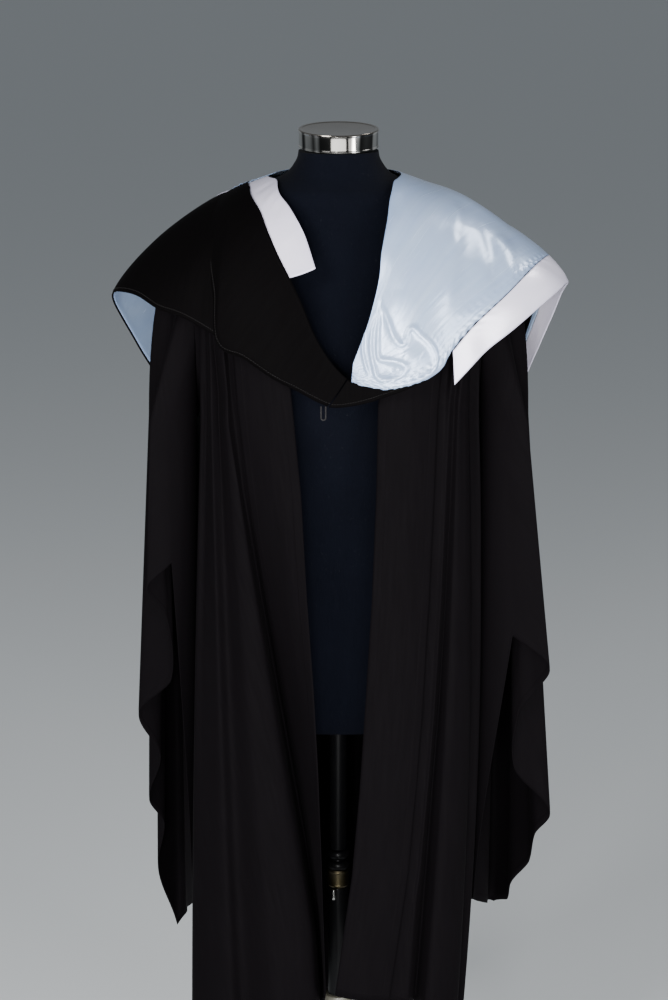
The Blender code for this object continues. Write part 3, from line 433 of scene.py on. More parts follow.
# Creases on upright cloth: start and end as across and down shares of the
# panel, half width and height in metres
BAND_BOW = 0.006
BAND_CREASES = ((0.35, 0.10, 0.38, 0.55, 0.012, 0.0006), (0.62, 0.35, 0.60, 0.90, 0.014, -0.0006))
FRONT_CREASES = (
    (0.22, 0.05, 0.20, 0.40, 0.006, 0.0008),
    (0.33, 0.10, 0.37, 0.55, 0.008, -0.0010),
    (0.48, 0.04, 0.46, 0.48, 0.007, 0.0009),
    (0.58, 0.22, 0.62, 0.88, 0.010, -0.0012),
    (0.71, 0.06, 0.73, 0.60, 0.008, 0.0010),
    (0.84, 0.18, 0.82, 0.95, 0.010, -0.0010),
)
SLEEVE_CREASES = (
    (0.05, 0.28, 0.07, 0.90, 0.006, -0.0010),
    (0.13, 0.20, 0.15, 0.85, 0.008, 0.0012),
    (0.24, 0.24, 0.22, 0.95, 0.007, -0.0010),
    (0.35, 0.22, 0.37, 0.80, 0.009, 0.0012),
    (0.47, 0.26, 0.45, 0.96, 0.007, -0.0010),
    (0.58, 0.20, 0.60, 0.90, 0.009, 0.0010),
    (0.74, 0.30, 0.72, 0.95, 0.009, -0.0012),
    (0.88, 0.28, 0.90, 0.85, 0.010, 0.0010),
)


# Curves and grids

def catmull_rom(a, b, c, d, t):
    """Twice the point a share t of the way from b to c, bent by the points on either side."""
    curve = 2 * b + (c - a) * t + (2 * a - 5 * b + 4 * c - d) * t ** 2
    return curve + (3 * b - a - 3 * c + d) * t ** 3


def spline(points, fractions, closed=False):
    """Catmull-Rom points at fractions 0 to 1 of the way along the given rows."""
    points = np.asarray(points, float)
    count = len(points)
    spans = count if closed else count - 1
    place = np.asarray(fractions, float) * spans
    index = np.minimum(place.astype(int), spans - 1)
    t = (place - index).reshape((-1,) + (1,) * (points.ndim - 1))
    picks = [index - 1, index, index + 1, index + 2]
    held = [pick % count if closed else np.clip(pick, 0, count - 1) for pick in picks]
    return 0.5 * catmull_rom(*(points[pick] for pick in held), t)


def blend(a, b, t):
    return (1 - t) * np.asarray(a, float) + t * np.asarray(b, float)


def smooth_step(value, low, high):
    t = np.clip((value - low) / (high - low), 0, 1)
    return t * t * (3 - 2 * t)


def shoulder(azimuth, drop):
    """Points of the shoulder surface at arrays of azimuths and drops."""
    azimuth, drop = np.broadcast_arrays(np.asarray(azimuth, float), np.asarray(drop, float))
    wrapped = (azimuth + 180.0) % 360.0 - 180.0
    side = np.where(wrapped < 0, -1.0, 1.0)
    turn = np.abs(wrapped)
    rings = [spline(profile, drop.ravel()).reshape(drop.shape + (2,)) for profile in SHOULDER_PROFILES]
    rings = np.array([rings[1], *rings, rings[-2]])
    place = turn / SHOULDER_STEP
    index = np.minimum(place.astype(int), 3)
    t = (place - index)[..., None]
    cells = np.indices(drop.shape)
    found = catmull_rom(*(rings[(index + step, *cells)] for step in range(4)), t)
    radius, height = 0.5 * found[..., 0], 0.5 * found[..., 1]
    to_side = np.maximum(0.0, 1 - ((turn - 90) / CORNER_SPREAD) ** 2)
    rise = LEFT_CORNER_RISE * to_side * np.clip((radius - CORNER_FROM) / CORNER_REACH, 0, 1)
    height = height + np.where(side > 0, rise, 0.0)
    angle = np.radians(turn)
    return np.stack((side * radius * np.sin(angle), -radius * np.cos(angle), height), axis=-1)


def shoulder_normal(azimuth, drop):
    step = 0.01
    around = shoulder(azimuth + 1, drop) - shoulder(azimuth - 1, drop)
    down = shoulder(azimuth, np.minimum(drop + step, 1.0)) - shoulder(azimuth, np.maximum(drop - step, 0.0))
    normal = np.cross(down, around)
    return normal / np.linalg.norm(normal, axis=-1, keepdims=True)


def crease_height(u, v, rows, scale=(1.0, 1.0)):
    """Summed height of soft ridges and troughs at places u, v."""
    x, y = u * scale[0], v * scale[1]
    height = np.zeros_like(x)
    for u0, v0, u1, v1, width, tall in rows:
        start = np.array((u0 * scale[0], v0 * scale[1]))
        along = np.array((u1 * scale[0], v1 * scale[1])) - start
        share = ((x - start[0]) * along[0] + (y - start[1]) * along[1]) / (along @ along)
        held = np.clip(share, 0, 1)
        away = np.hypot(x - start[0] - held * along[0], y - start[1] - held * along[1])
        height += tall * np.exp(-(away / width) ** 2) * (0.25 + 0.75 * np.sin(pi * held))
    return height


def swirl_height(u, v, swirls, scale):
    """Summed height of ridges that run along curved lines."""
    x, y = u * scale[0], v * scale[1]
    height = np.zeros_like(x)
    for width, tall, line in swirls:
        path = spline(line, np.linspace(0, 1, 8 * len(line))) * scale
        nearest = np.full(x.shape, np.inf)
        ends = np.zeros_like(x)
        for number, (px, py) in enumerate(path):
            away = np.hypot(x - px, y - py)
            closer = away < nearest
            ends = np.where(closer, sin(pi * (number + 0.5) / len(path)) ** 0.35, ends)
            nearest = np.where(closer, away, nearest)
        height += tall * np.exp(-(nearest / width) ** 2) * ends
    return height


def grid_normals(grid, closed=False):
    """Outward normals of a grid whose rows run down and whose columns run round."""
    if closed:
        across = np.roll(grid, -1, axis=1) - np.roll(grid, 1, axis=1)
    else:
        across = np.gradient(grid, axis=1)
    normals = np.cross(across, np.gradient(grid, axis=0))
    return normals / np.maximum(np.linalg.norm(normals, axis=2, keepdims=True), 1e-9)


def arc_lengths(grid, axis):
    """Distance run along a grid's rows (axis 1) or columns (axis 0)."""
    steps = np.linalg.norm(np.diff(grid, axis=axis), axis=2)
    return np.insert(np.cumsum(steps, axis=axis), 0, 0.0, axis=axis)


# Materials

# Painted reflections of the studio: bands of light and dark tone round the neck cap's side, from its right over
# the front and round the back
PAINTED_CHROME_REFLECTIONS = tuple((place, (tone, 0.97 * tone, 0.92 * tone, 1.0)) for place, tone in (
    (0.000, 0.42), (0.050, 0.75), (0.070, 0.60), (0.078, 0.03), (0.092, 0.03), (0.104, 0.60), (0.128, 0.48),
    (0.146, 0.06), (0.162, 0.52), (0.176, 0.04), (0.236, 0.07), (0.300, 0.05), (0.309, 0.92), (0.327, 0.90),
    (0.338, 0.04), (0.366, 0.12), (0.402, 0.05), (0.412, 0.85), (0.436, 0.80), (0.450, 0.22), (0.500, 0.45),
    (0.580, 0.12), (0.640, 0.70), (0.700, 0.10), (0.790, 0.55), (0.860, 0.10), (0.940, 0.60), (1.000, 0.42)))


class Wire:
    """A shader socket on which Python's operators add Math nodes."""

    def __init__(self, tree, socket=None):
        self.tree = tree
        self.socket = socket

    def node(self, kind, settings=None, inputs=None, output=0):
        """Add a node: its settings first, then the values or links of its sockets."""
        made = self.tree.nodes.new(kind)
        for key, value in (settings or {}).items():
            if key == "stops":
                ramp = made.color_ramp
                while len(ramp.elements) < len(value):
                    ramp.elements.new(0.5)
                for element, (place, colour) in zip(ramp.elements, value):
                    element.position = place
                    element.color = colour
            else:
                setattr(made, key, value)
        for key, value in (inputs or {}).items():
            if isinstance(value, Wire):
                self.tree.links.new(value.socket, made.inputs[key])
            else:
                made.inputs[key].default_value = value
        return Wire(self.tree, made.outputs[output])

    def math(self, operation, first, second=0.0):
        return self.node("ShaderNodeMath", {"operation": operation}, {0: first, 1: second})

    def __add__(self, other):
        return self.math("ADD", self, other)

    def __sub__(self, other):
        return self.math("SUBTRACT", self, other)

    def __rsub__(self, other):
        return self.math("SUBTRACT", other, self)

    def __mul__(self, other):
        return self.math("MULTIPLY", self, other)

    __radd__ = __add__
    __rmul__ = __mul__

    def mix(self, first, second):
        """Mix of two colours by this socket."""
        settings = {"data_type": "RGBA"}
        return self.node("ShaderNodeMix", settings, {0: self, 6: first, 7: second}, 2)


def rgba(colour, gain=1.0):
    return (*(min(1.0, channel * gain) for channel in tuple(colour)[:3]), 1.0)


def new_material(name):
    """Material with its shader, and a wire to start its maths from."""
    made = bpy.data.materials.new(name)
    made.use_nodes = True
    made.node_tree.nodes.clear()
    tree = made.node_tree
    shader = tree.nodes.new("ShaderNodeBsdfPrincipled")
    output = tree.nodes.new("ShaderNodeOutputMaterial")
    tree.links.new(shader.outputs[0], output.inputs[0])
    return made, shader, Wire(tree)


def connect(shader, wires, values=None):
    for key, wire in wires.items():
        wire.tree.links.new(wire.socket, shader.inputs[key])
    for key, value in (values or {}).items():
        shader.inputs[key].default_value = value


def noise(wire, vector, scale, detail=2.0, rough=0.5):
    inputs = {"Vector": vector, "Scale": scale, "Detail": detail, "Roughness": rough}
    return wire.node("ShaderNodeTexNoise", {}, inputs)


def stretched(wire, vector, scale):
    """Coordinates stretched along the cloth's threads."""
    return wire.node("ShaderNodeMapping", {}, {"Vector": vector, "Scale": scale})


def attribute(wire, name):
    return wire.node("ShaderNodeAttribute", {"attribute_name": name}, output=2)


def ramped(wire, value, low, high, ends=(0.0, 1.0), kind="LINEAR"):
    """Value brought from one range to another and held at its ends."""
    inputs = {"Value": value, "From Min": low, "From Max": high, "To Min": ends[0], "To Max": ends[1]}
    return wire.node("ShaderNodeMapRange", {"interpolation_type": kind}, inputs)


def bump(wire, height, strength, distance, normal=None):
    inputs = {"Height": height, "Strength": strength, "Distance": distance}
    if normal is not None:
        inputs["Normal"] = normal
    return wire.node("ShaderNodeBump", {}, inputs)


def cloth_material(name, colour, pitch, hem_depth, rough=0.80, sheen=0.006):
    """Black dress cloth: upright crepe ribs, slubs, and a pressed line at each hem."""
    made, shader, wire = new_material(name)
    uv = wire.node("ShaderNodeUVMap", {"uv_map": "cloth"})
    ribs = noise(wire, stretched(wire, uv, (1.0, 0.02, 1.0)), 1.0 / pitch, 1.0)
    slubs = noise(wire, stretched(wire, uv, (1.0, 0.06, 1.0)), 0.22 / pitch, 3.0)
    weft = noise(wire, stretched(wire, uv, (0.10, 1.0, 1.0)), 1.2 / pitch, 1.0)
    pebble = noise(wire, uv, 0.9 / pitch, 2.0)
    cloud = noise(wire, stretched(wire, uv, (1.0, 0.7, 1.0)), 9.0, 3.0)
    edge = attribute(wire, "edge")
    fold = ramped(wire, edge, hem_depth - 0.0012, hem_depth + 0.0008, kind="SMOOTHSTEP")
    shade = 0.30 * ribs + 0.30 * slubs + 0.15 * weft + 0.30 * pebble + 0.20 * cloud
    tone = shade.mix(rgba(colour, 0.35), rgba(colour, 1.75))
    relief = bump(wire, fold * -1.0, 0.5, 0.0006)
    relief = bump(wire, 0.45 * ribs + 0.30 * weft + 0.30 * pebble + 0.20 * slubs, 0.55, 0.0004, relief)
    connect(shader, {"Base Color": tone, "Normal": relief, "Roughness": rough - 0.14 * slubs},
            {"Sheen Weight": sheen, "Sheen Roughness": 0.5, "Sheen Tint": (0.5, 0.45, 0.48, 1.0),
             "Specular IOR Level": 0.022})
    return made


def satin_material(name, colour, painted_shade, rough):
    """Polyester satin: fine warp lines, a bright gloss, and painted shade: a soft mottle between its lit colour
    and its shade colour, deepening near its hems and where it turns away from the view.
    """
    made, shader, wire = new_material(name)
    uv = wire.node("ShaderNodeUVMap", {"uv_map": "cloth"})
    warp = noise(wire, stretched(wire, uv, (1.0, 0.03, 1.0)), 1400.0, 1.0)
    slubs = noise(wire, stretched(wire, uv, (1.0, 0.10, 1.0)), 260.0, 2.0)
    mottle = noise(wire, uv, 26.0, 3.0)
    broad = noise(wire, uv, 7.0, 2.0)
    edge = attribute(wire, "edge")
    # painted shade: within 16 mm of its hems and seams the satin darkens towards its shade colour
    seam = ramped(wire, edge, 0.0, 0.016, (1.0, 0.0), "SMOOTHSTEP")
    # painted shade: where the satin turns away from the view it darkens towards a deeper copy of its shade colour
    facing = wire.node("ShaderNodeLayerWeight", {}, {"Blend": 0.35}, 1)
    # partly painted shade: noise mottles the satin at random between its lit colour and its shade colour
    tone = (0.50 * broad + 0.40 * mottle + 0.10 * slubs).mix(rgba(painted_shade), rgba(colour))
    tone = (seam * 0.45).mix(tone, rgba(painted_shade))
    tone = (facing * 0.65).mix(tone, rgba(painted_shade, 0.8))
    relief = bump(wire, mottle, 0.30, 0.0016)
    relief = bump(wire, warp * 0.6 + slubs * 0.5, 0.30, 0.00012, relief)
    connect(shader, {"Base Color": tone, "Normal": relief, "Roughness": rough + 0.08 * slubs + 0.05 * mottle},
            {"Specular IOR Level": 0.9, "Metallic": 0.20, "Sheen Weight": 0.03, "Sheen Roughness": 0.30,
             "Coat Weight": 0.10, "Coat Roughness": 0.14})
    return made


def jersey_material(name, colour):
    """Brushed navy jersey pulled over the form, with fine wales."""
    made, shader, wire = new_material(name)
    place = wire.node("ShaderNodeTexCoord", output=3)
    wales = noise(wire, stretched(wire, place, (1.0, 1.0, 0.05)), 900.0, 1.0)
    loops = noise(wire, stretched(wire, place, (0.3, 0.3, 1.0)), 700.0, 1.0)
    lint = noise(wire, place, 320.0, 4.0, 0.7)
    cloud = noise(wire, place, 14.0, 3.0)
    specks = ramped(wire, lint, 0.64, 0.78)
    tone = (0.4 * wales + 0.3 * loops + 0.4 * cloud).mix(rgba(colour, 0.6), rgba(colour, 1.5))
    tone = (specks * 0.12).mix(tone, rgba((0.12, 0.13, 0.15)))
    relief = bump(wire, 0.6 * wales + 0.4 * loops + 0.3 * lint, 0.5, 0.0005)
    connect(shader, {"Base Color": tone, "Normal": relief, "Roughness": 0.95 - 0.1 * wales},
            {"Sheen Weight": 0.012, "Sheen Roughness": 0.55, "Specular IOR Level": 0.03})
    return made


def chrome_material(name, height, tilt):
    """Mirror chrome: a brushed top face, and painted reflections of the studio as soft bands round the side."""
    made, shader, wire = new_material(name)
    place = wire.node("ShaderNodeTexCoord", output=3)
    upright = wire.node("ShaderNodeMapping", {}, {"Vector": place, "Rotation": (-tilt, 0, 0)})
    level = wire.node("ShaderNodeSeparateXYZ", {}, {"Vector": upright}, 2)
    top = ramped(wire, level, height - 0.0016, height - 0.0010)
    round_it = wire.node("ShaderNodeTexGradient", {"gradient_type": "RADIAL"}, {"Vector": place}, 1)
    # painted reflections: these bands of tone round the side stand in for lit and dark parts of the studio
    # mirrored in the chrome
    bands = wire.node("ShaderNodeValToRGB", {"stops": PAINTED_CHROME_REFLECTIONS}, {"Fac": round_it})
    brush = noise(wire, place, 46.0, 4.0, 0.65)
    hair = noise(wire, stretched(wire, place, (0.6, 6.0, 1.0)), 300.0, 3.0, 0.6)
    face = (0.7 * brush + 0.3 * hair).mix((0.10, 0.085, 0.070, 1.0), (0.36, 0.33, 0.29, 1.0))
    tone = top.mix(bands, face)
    relief = bump(wire, hair, 0.10, 0.00006)
    connect(shader, {"Base Color": tone, "Normal": relief, "Roughness": 0.09 + 0.16 * top * brush},
            {"Metallic": 1.0})
    return made


def thread_material(name, colour):
    """Twisted thread, ridged by its strands."""
    made, shader, wire = new_material(name)
    place = wire.node("ShaderNodeTexCoord", output=3)
    strands = noise(wire, stretched(wire, place, (1.0, 1.0, 0.6)), 2600.0, 2.0)
    relief = bump(wire, strands, 0.4, 0.0002)
    connect(shader, {"Base Color": strands.mix(rgba(colour, 0.7), rgba(colour, 2.2)), "Normal": relief,
                     "Roughness": 0.62 - 0.14 * strands},
            {"Sheen Weight": 0.02, "Specular IOR Level": 0.22})
    return made


def metal_material(name, colour, rough, metallic, scratch=0.0, grime=0.0, coat=0.0, gloss=0.5):
    """Turned metal or lacquer: hair scratches round it and a little grime."""
    made, shader, wire = new_material(name)
    place = wire.node("ShaderNodeTexCoord", output=3)
    hair = noise(wire, stretched(wire, place, (0.25, 0.25, 6.0)), 420.0, 3.0, 0.6)
    cloud = noise(wire, place, 38.0, 4.0, 0.6)
    wear = ramped(wire, cloud, 0.50, 0.72)
    tone = (wear * grime).mix(rgba(colour), rgba((0.10, 0.085, 0.065)))
    relief = bump(wire, hair, 0.12 + scratch, 0.00008)
    dull = rough + scratch * hair + 0.22 * grime * wear
    connect(shader, {"Base Color": tone, "Normal": relief, "Roughness": dull},
            {"Metallic": metallic, "Coat Weight": coat, "Coat Roughness": 0.08, "Specular IOR Level": gloss})
    return made


# Solids of the scene

def add_piece(name, mesh, material, node=None):
    """Link a finished mesh, and tie it to the frame."""
    mesh.materials.append(material)
    mesh.shade_smooth()
    made = bpy.data.objects.new(name, mesh)
    bpy.context.scene.collection.objects.link(made)
    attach(made, "root")
    if node:
        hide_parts(node)
    return made


def shell_mesh(name, grid, thickness, closed, hems):
    """Thin closed cloth with metre UVs and each point's distance from its hems."""
    rows, columns = grid.shape[:2]
    normals = grid_normals(grid, closed)
    edge = np.full((rows, columns), 0.5)
    down = arc_lengths(grid, 0)
    across = arc_lengths(grid, 1)
    if "top" in hems:
        edge = np.minimum(edge, down)
    if "bottom" in hems:
        edge = np.minimum(edge, down[-1] - down)
    if "start" in hems:
        edge = np.minimum(edge, across)
    if "end" in hems:
        edge = np.minimum(edge, across[:, -1:] - across)
    half = 0.5 * thickness * np.sqrt(np.clip(edge / (0.7 * thickness), 0.15, 1.0))[..., None]
    middle = grid - normals * 0.5 * thickness
    points = np.concatenate([(middle + normals * reach).reshape(-1, 3) for reach in (half, -half)])
    offset = rows * columns
    last = columns if closed else columns - 1
    r, c = np.meshgrid(np.arange(rows - 1), np.arange(last), indexing="ij")
    a = (r * columns + c).ravel()
    b = (r * columns + (c + 1) % columns).ravel()
    faces = [np.stack((a, a + columns, b + columns, b), 1)]
    faces.append(np.stack((a, b, b + columns, a + columns), 1) + offset)
    run = np.arange(last)
    following = (run + 1) % columns
    faces.append(np.stack((run, following, following + offset, run + offset), 1))
    low = (rows - 1) * columns
    faces.append(np.stack((low + run, low + run + offset, low + following + offset, low + following), 1))
    if not closed:
        run = np.arange(rows - 1) * columns
        faces.append(np.stack((run, run + offset, run + columns + offset, run + columns), 1))
        run = run + columns - 1
        faces.append(np.stack((run, run + columns, run + columns + offset, run + offset), 1))
    mesh = new_mesh(name, points, np.concatenate(faces)[:, ::-1].tolist())
    mesh.validate()
    wide = across if not closed else across - 0.5 * across[:, -1:]
    places = np.stack((wide, down), axis=-1).reshape(-1, 2)
    places = np.concatenate((places, places))
    uv = mesh.uv_layers.new(name="cloth")
    corners = np.zeros(len(mesh.loops), np.int32)
    mesh.loops.foreach_get("vertex_index", corners)
    uv.data.foreach_set("uv", places[corners].astype(np.float32).ravel())
    marks = mesh.attributes.new("edge", "FLOAT", "POINT")
    marks.data.foreach_set("value", np.concatenate((edge.ravel(), edge.ravel())).astype(np.float32))
    return mesh


def add_cloth(name, node, grid, material, thickness=CLOTH, closed=False, hems=(), held="draped"):
    """Thin shell that stands for a cloth solid."""
    grid = np.asarray(grid, float)
    made = add_piece(name, shell_mesh(name, grid, thickness, closed, hems), material, node)
    loop = np.concatenate((grid, grid[:, :1]), axis=1) if closed else grid
    level = loop * (1, 1, 0) if held == "hung" else loop


def new_mesh(name, points, faces):
    mesh = bpy.data.meshes.new(name)
    mesh.from_pydata(np.asarray(points, float).tolist(), [], faces)
    return mesh


def tube_faces(rings, sides, start=0, capped=True):
    """Faces of a tube whose rings of points follow each other from a start index."""
    faces = []
    for ring in range(rings - 1):
        for side in range(sides):
            a = start + ring * sides + side
            b = start + ring * sides + (side + 1) % sides
            faces.append((a, b, b + sides, a + sides))
    if capped:
        last = start + (rings - 1) * sides
        faces.append(tuple(range(start, start + sides))[::-1])
        faces.append(tuple(range(last, last + sides)))
    return faces


def turned(name, profile, material, node, segments=96, tilt=0.0, place=(0.0, 0.0, 0.0)):
    """Solid turned from (radius, height) pairs, with its caps pinched to a point."""
    profile = np.array([(0.0, profile[0][1]), *profile, (0.0, profile[-1][1])])
    turns = np.arange(segments) * tau / segments
    inner = profile[1:-1]
    points = [(r * cos(t), r * sin(t), z) for r, z in inner for t in turns]
    points += [(0.0, 0.0, profile[0][1]), (0.0, 0.0, profile[-1][1])]
    faces = tube_faces(len(inner), segments, capped=False)
    top = (len(inner) - 1) * segments
    bottom_point = len(points) - 2
    for step in range(segments):
        following = (step + 1) % segments
        faces.append((following, step, bottom_point))
        faces.append((top + step, top + following, bottom_point + 1))
    spun = np.array(points)
    y, z = spun[:, 1].copy(), spun[:, 2].copy()
    spun[:, 1] = y * cos(tilt) - z * sin(tilt)
    spun[:, 2] = y * sin(tilt) + z * cos(tilt)
    spun += np.array(place)
    mesh = new_mesh(name, spun, faces)
    add_piece(name, mesh, material, node)
    mesh.set_sharp_from_angle(angle=radians(38))


def rounded(profile, radius=0.0012, steps=4):
    """Profile with its corners rounded."""
    profile = [np.array(point, float) for point in profile]
    result = [profile[0]]
    for before, corner, after in zip(profile, profile[1:], profile[2:]):
        back = (before - corner) / np.linalg.norm(before - corner)
        ahead = (after - corner) / np.linalg.norm(after - corner)
        reach = min(radius, 0.45 * np.linalg.norm(before - corner), 0.45 * np.linalg.norm(after - corner))
        for step in range(steps + 1):
            t = step / steps
            start, end = corner + back * reach, corner + ahead * reach
            result.append(start * (1 - t) ** 2 + corner * 2 * t * (1 - t) + end * t * t)
    result.append(profile[-1])
    return result


def add_stitches(name, lines, material, pitch=0.0034, length=0.0021, radius=0.00028):
    """Rows of small thread stitches along lines of (point, normal) arrays."""
    sides, rings = 5, (0.35, 1.0, 1.0, 0.35)
    points, faces = [], []
    for path, normals in lines:
        run = np.insert(np.cumsum(np.linalg.norm(np.diff(path, axis=0), axis=1)), 0, 0.0)
        count = int(run[-1] / pitch)
        for number in range(count):
            middle = (number + 0.5) * pitch
            ends = []
            for at in (middle - length / 2, middle + length / 2):
                ends.append(np.array([np.interp(at, run, path[:, axis]) for axis in range(3)]))
            up = np.array([np.interp(middle, run, normals[:, axis]) for axis in range(3)])
            along = ends[1] - ends[0]
            along /= np.linalg.norm(along)
            out = np.cross(along, up)
            out /= np.linalg.norm(out)
            up = np.cross(out, along)
            start = len(points)
            for ring, swell in enumerate(rings):
                t = ring / (len(rings) - 1)
                centre = ends[0] * (1 - t) + ends[1] * t + up * radius * (0.25 + 0.9 * sin(pi * t))
                for side in range(sides):
                    turn = tau * side / sides
                    points.append(centre + (out * cos(turn) + up * sin(turn)) * radius * swell)
            faces += [face[::-1] for face in tube_faces(len(rings), sides, start)]
    add_piece(name, new_mesh(name, points, faces), material)


def add_cord(name, path, reach, node, material, strands=3, sides=8, pitch=0.0028):
    """Cord of strands twisted round a line, each a closed tube."""
    path = np.array(path)
    run = np.insert(np.cumsum(np.linalg.norm(np.diff(path, axis=0), axis=1)), 0, 0.0)
    along = np.gradient(path, axis=0)
    along /= np.linalg.norm(along, axis=1, keepdims=True)
    first = np.broadcast_to((0.0, 1.0, 0.0), path.shape)
    second = np.cross(along, first)
    radius = 0.52 * reach
    points, faces = [], []
    for strand in range(strands):
        turns = tau * (strand / strands + run / pitch)
        start = len(points)
        for place, one, two, turn in zip(path, first, second, turns):
            centre = place + (one * cos(turn) + two * sin(turn)) * (reach - radius)
            for side in range(sides):
                angle = tau * side / sides
                points.append(centre + (one * cos(angle) + two * sin(angle)) * radius)
        faces += tube_faces(len(path), sides, start)
    add_piece(name, new_mesh(name, points, faces), material, node)


# Gown

def armhole_depth(height):
    level = (height - ARMHOLE_Z) / ARMHOLE_HALF_HEIGHT
    return ARMHOLE_HALF_DEPTH * sqrt(max(0.0, 1 - level * level))


def side_point(side, facing, height, hem_x):
    """Side edge of a panel: round the armhole, then straight down the side seam."""
    bottom = ARMHOLE_Z - ARMHOLE_HALF_HEIGHT
    x = ARMHOLE_X - SEAM_GAP
    if height < bottom:
        x = blend(x, hem_x, (bottom - height) / (bottom - SIDE_HEM_Z))
    return np.array((SIDES[side] * x, facing * (armhole_depth(height) + SEAM_GAP), height))


def fall(top, hem, t):
    return top + (hem - top) * t ** 1.25


def band_edges(side, height):
    table = np.array(BANDS[side])[::-1]
    values = [np.interp(height, table[:, 0], table[:, column]) for column in range(1, 5)]
    sign = SIDES[side]
    return np.array((sign * values[0], values[1], height)), np.array((sign * values[2], values[3], height))


def band_grid(side, rows=90, columns=26):
    grid = np.zeros((rows, columns, 3))
    for row in range(rows):
        for column in range(columns):
            across = column / (columns - 1)
            hem = blend(BAND_INNER_HEM_Z, BAND_OUTER_HEM_Z[side], across)
            height = fall(YOKE_Z - SEAM_GAP, hem, row / (rows - 1))
            inner, outer = band_edges(side, height)
            grid[row, column] = blend(inner, outer - (SIDES[side] * SEAM_GAP, 0, 0), across)
            grid[row, column, 1] -= BAND_BOW * sin(pi * across)
    return grid


def front_grid(side, rows=84, steps=14):
    table = np.array(FRONTS[side])
    sign = SIDES[side]
    folds = len(table)
    columns = (folds + 1) * steps + 1
    hem_heights = [BAND_OUTER_HEM_Z[side], *table[:, 4], SIDE_HEM_Z]
    fractions = np.linspace(0, 1, columns)
    smooth = spline(YOKE_FRONT_LINE, fractions)
    grid = np.zeros((rows, columns, 3))
    for row in range(rows):
        for column, across in enumerate(fractions):
            hem = np.interp(across * (folds + 1), range(folds + 2), hem_heights)
            height = fall(YOKE_Z - SEAM_GAP, hem, row / (rows - 1))
            down = (UNDERARM_Z - height) / (UNDERARM_Z - hem)
            level = max(down, 0.0)
            bulge = SIDE_BULGE[side] * 4 * level * (1 - down)
            seam = band_edges(side, height)[1]
            tuck = (blend(table[0, :2], table[0, 2:4], level) + (TUCK_GAP, 0.0)) * (sign, 1)
            stations = [seam + (-sign * TUCK_INSET, TUCK_GAP, 0.0), seam + (*tuck, 0.0)]
            for number, (x_top, y_top, x_hem, y_hem, _) in enumerate(table[1:], 2):
                x = blend(x_top, x_hem, level) + bulge * number / (folds + 1)
                if number <= CROWDED_FOLDS:
                    room = TUCK_ROOM[side] if number == 2 else FOLD_ROOM
                    x = max(x, abs(stations[-1][0]) + room)
                y = min(blend(y_top, y_hem, level), -armhole_depth(height) - 0.007)
                stations.append(np.array((sign * x, y, height)))
            stations.append(side_point(side, -1, height, SIDE_SEAM_X[side]))
            point = spline(stations, [across])[0]
            if height > UNDERARM_Z and 0 < column < columns - 1:
                start = (YOKE_Z - height) / (YOKE_Z - UNDERARM_Z)
                flat = np.array((sign * smooth[column][0], smooth[column][1], height))
                point = blend(flat, point, 1 - (1 - start) ** 3)
            point[2] = height
            grid[row, column] = point
    return grid


def back_line(across):
    half = ((ARMHOLE_X - SEAM_GAP, 0.0763), (0.110, 0.139), (0.0, 0.152))
    stations = half + tuple((-x, y) for x, y in half[-2::-1])
    x, y = spline(stations, [across])[0]
    return np.array((x, y, YOKE_Z - SEAM_GAP))


def back_grid(rows=84, steps=22):
    columns = BACK_PLEATS * steps + 1
    grid = np.zeros((rows, columns, 3))
    for row in range(rows):
        for column in range(columns):
            across = column / (columns - 1)
            turn = pi * across
            hem = blend(SIDE_HEM_Z, BACK_HEM_Z, sin(turn))
            height = fall(YOKE_Z - SEAM_GAP, hem, row / (rows - 1))
            down = (YOKE_Z - height) / (YOKE_Z - hem)
            eased = 1 - (1 - min(1.0, down * 4)) ** 2
            side = "left" if across < 0.5 else "right"
            edge = side_point(side, 1, height, SIDE_SEAM_X[side])
            uneven = 0.45 * sin(turn * 3) + 0.30 * sin(turn * 5 + 1)
            phase = across * BACK_PLEATS * tau + uneven * sin(turn)
            depth = blend(PLEAT_DEPTH_TOP, PLEAT_DEPTH_HEM, down) * (0.5 - 0.5 * cos(phase))
            ripple = sin(across * GATHERS * tau + 2.2 * sin(turn * 7))
            small = GATHER_DEPTH * ripple * np.exp(-down * 7) * sin(turn)
            flare = BACK_FLARE * sin(2 * turn) ** 2 * np.interp(height, FLARE_HEIGHTS, FLARE_SHARES)
            half_width = abs(edge[0]) + BACK_SPREAD * sin(turn) - 0.5 * depth * sin(turn) + flare
            reach = blend(BACK_REACH_TOP, BACK_REACH_HEM, down ** 0.7) - depth
            oval = (abs(cos(turn)) ** BACK_SQUARENESS + sin(turn) ** BACK_SQUARENESS) ** (1 / BACK_SQUARENESS)
            full = (half_width * cos(turn) / oval, edge[1] + (reach - edge[1]) * sin(turn) / oval, height)
            point = blend(back_line(across), full, eased)
            point[1] += small
            point[2] = height
            grid[row, column] = edge if column in (0, columns - 1) else point
    return grid


def yoke_grid(rows=26, steps=9):
    half = [np.array(station) for station in YOKE_STATIONS]
    stations = [station * (-1, 1, 1) for station in half] + half[-2::-1]
    columns = steps * (len(stations) - 1) + 1
    fractions = np.linspace(0, 1, columns)
    curves = [spline([station[part] for station in stations], fractions) for part in range(3)]
    grid = np.zeros((rows, columns, 3))
    back_start, back_spans = 5, 4
    for column, fraction in enumerate(fractions):
        neck, middle, outer = (curve[column] for curve in curves)
        place = fraction * (len(stations) - 1)
        if back_start <= place <= back_start + back_spans:
            outer = back_line(1 - (place - back_start) / back_spans)
            outer[2] = YOKE_Z + SEAM_GAP
        else:
            outer[0] = np.sign(outer[0]) * (ARMHOLE_X - SEAM_GAP)
            outer[2] = max(outer[2], YOKE_Z + SEAM_GAP)
        for row in range(rows):
            t = row / (rows - 1)
            near = neck * (1 - t) * (1 - 2 * t) + middle * 4 * t * (1 - t)
            grid[row, column] = near + outer * t * (2 * t - 1)
    grid[:, (0, -1), 2] = YOKE_Z + SEAM_GAP
    return grid


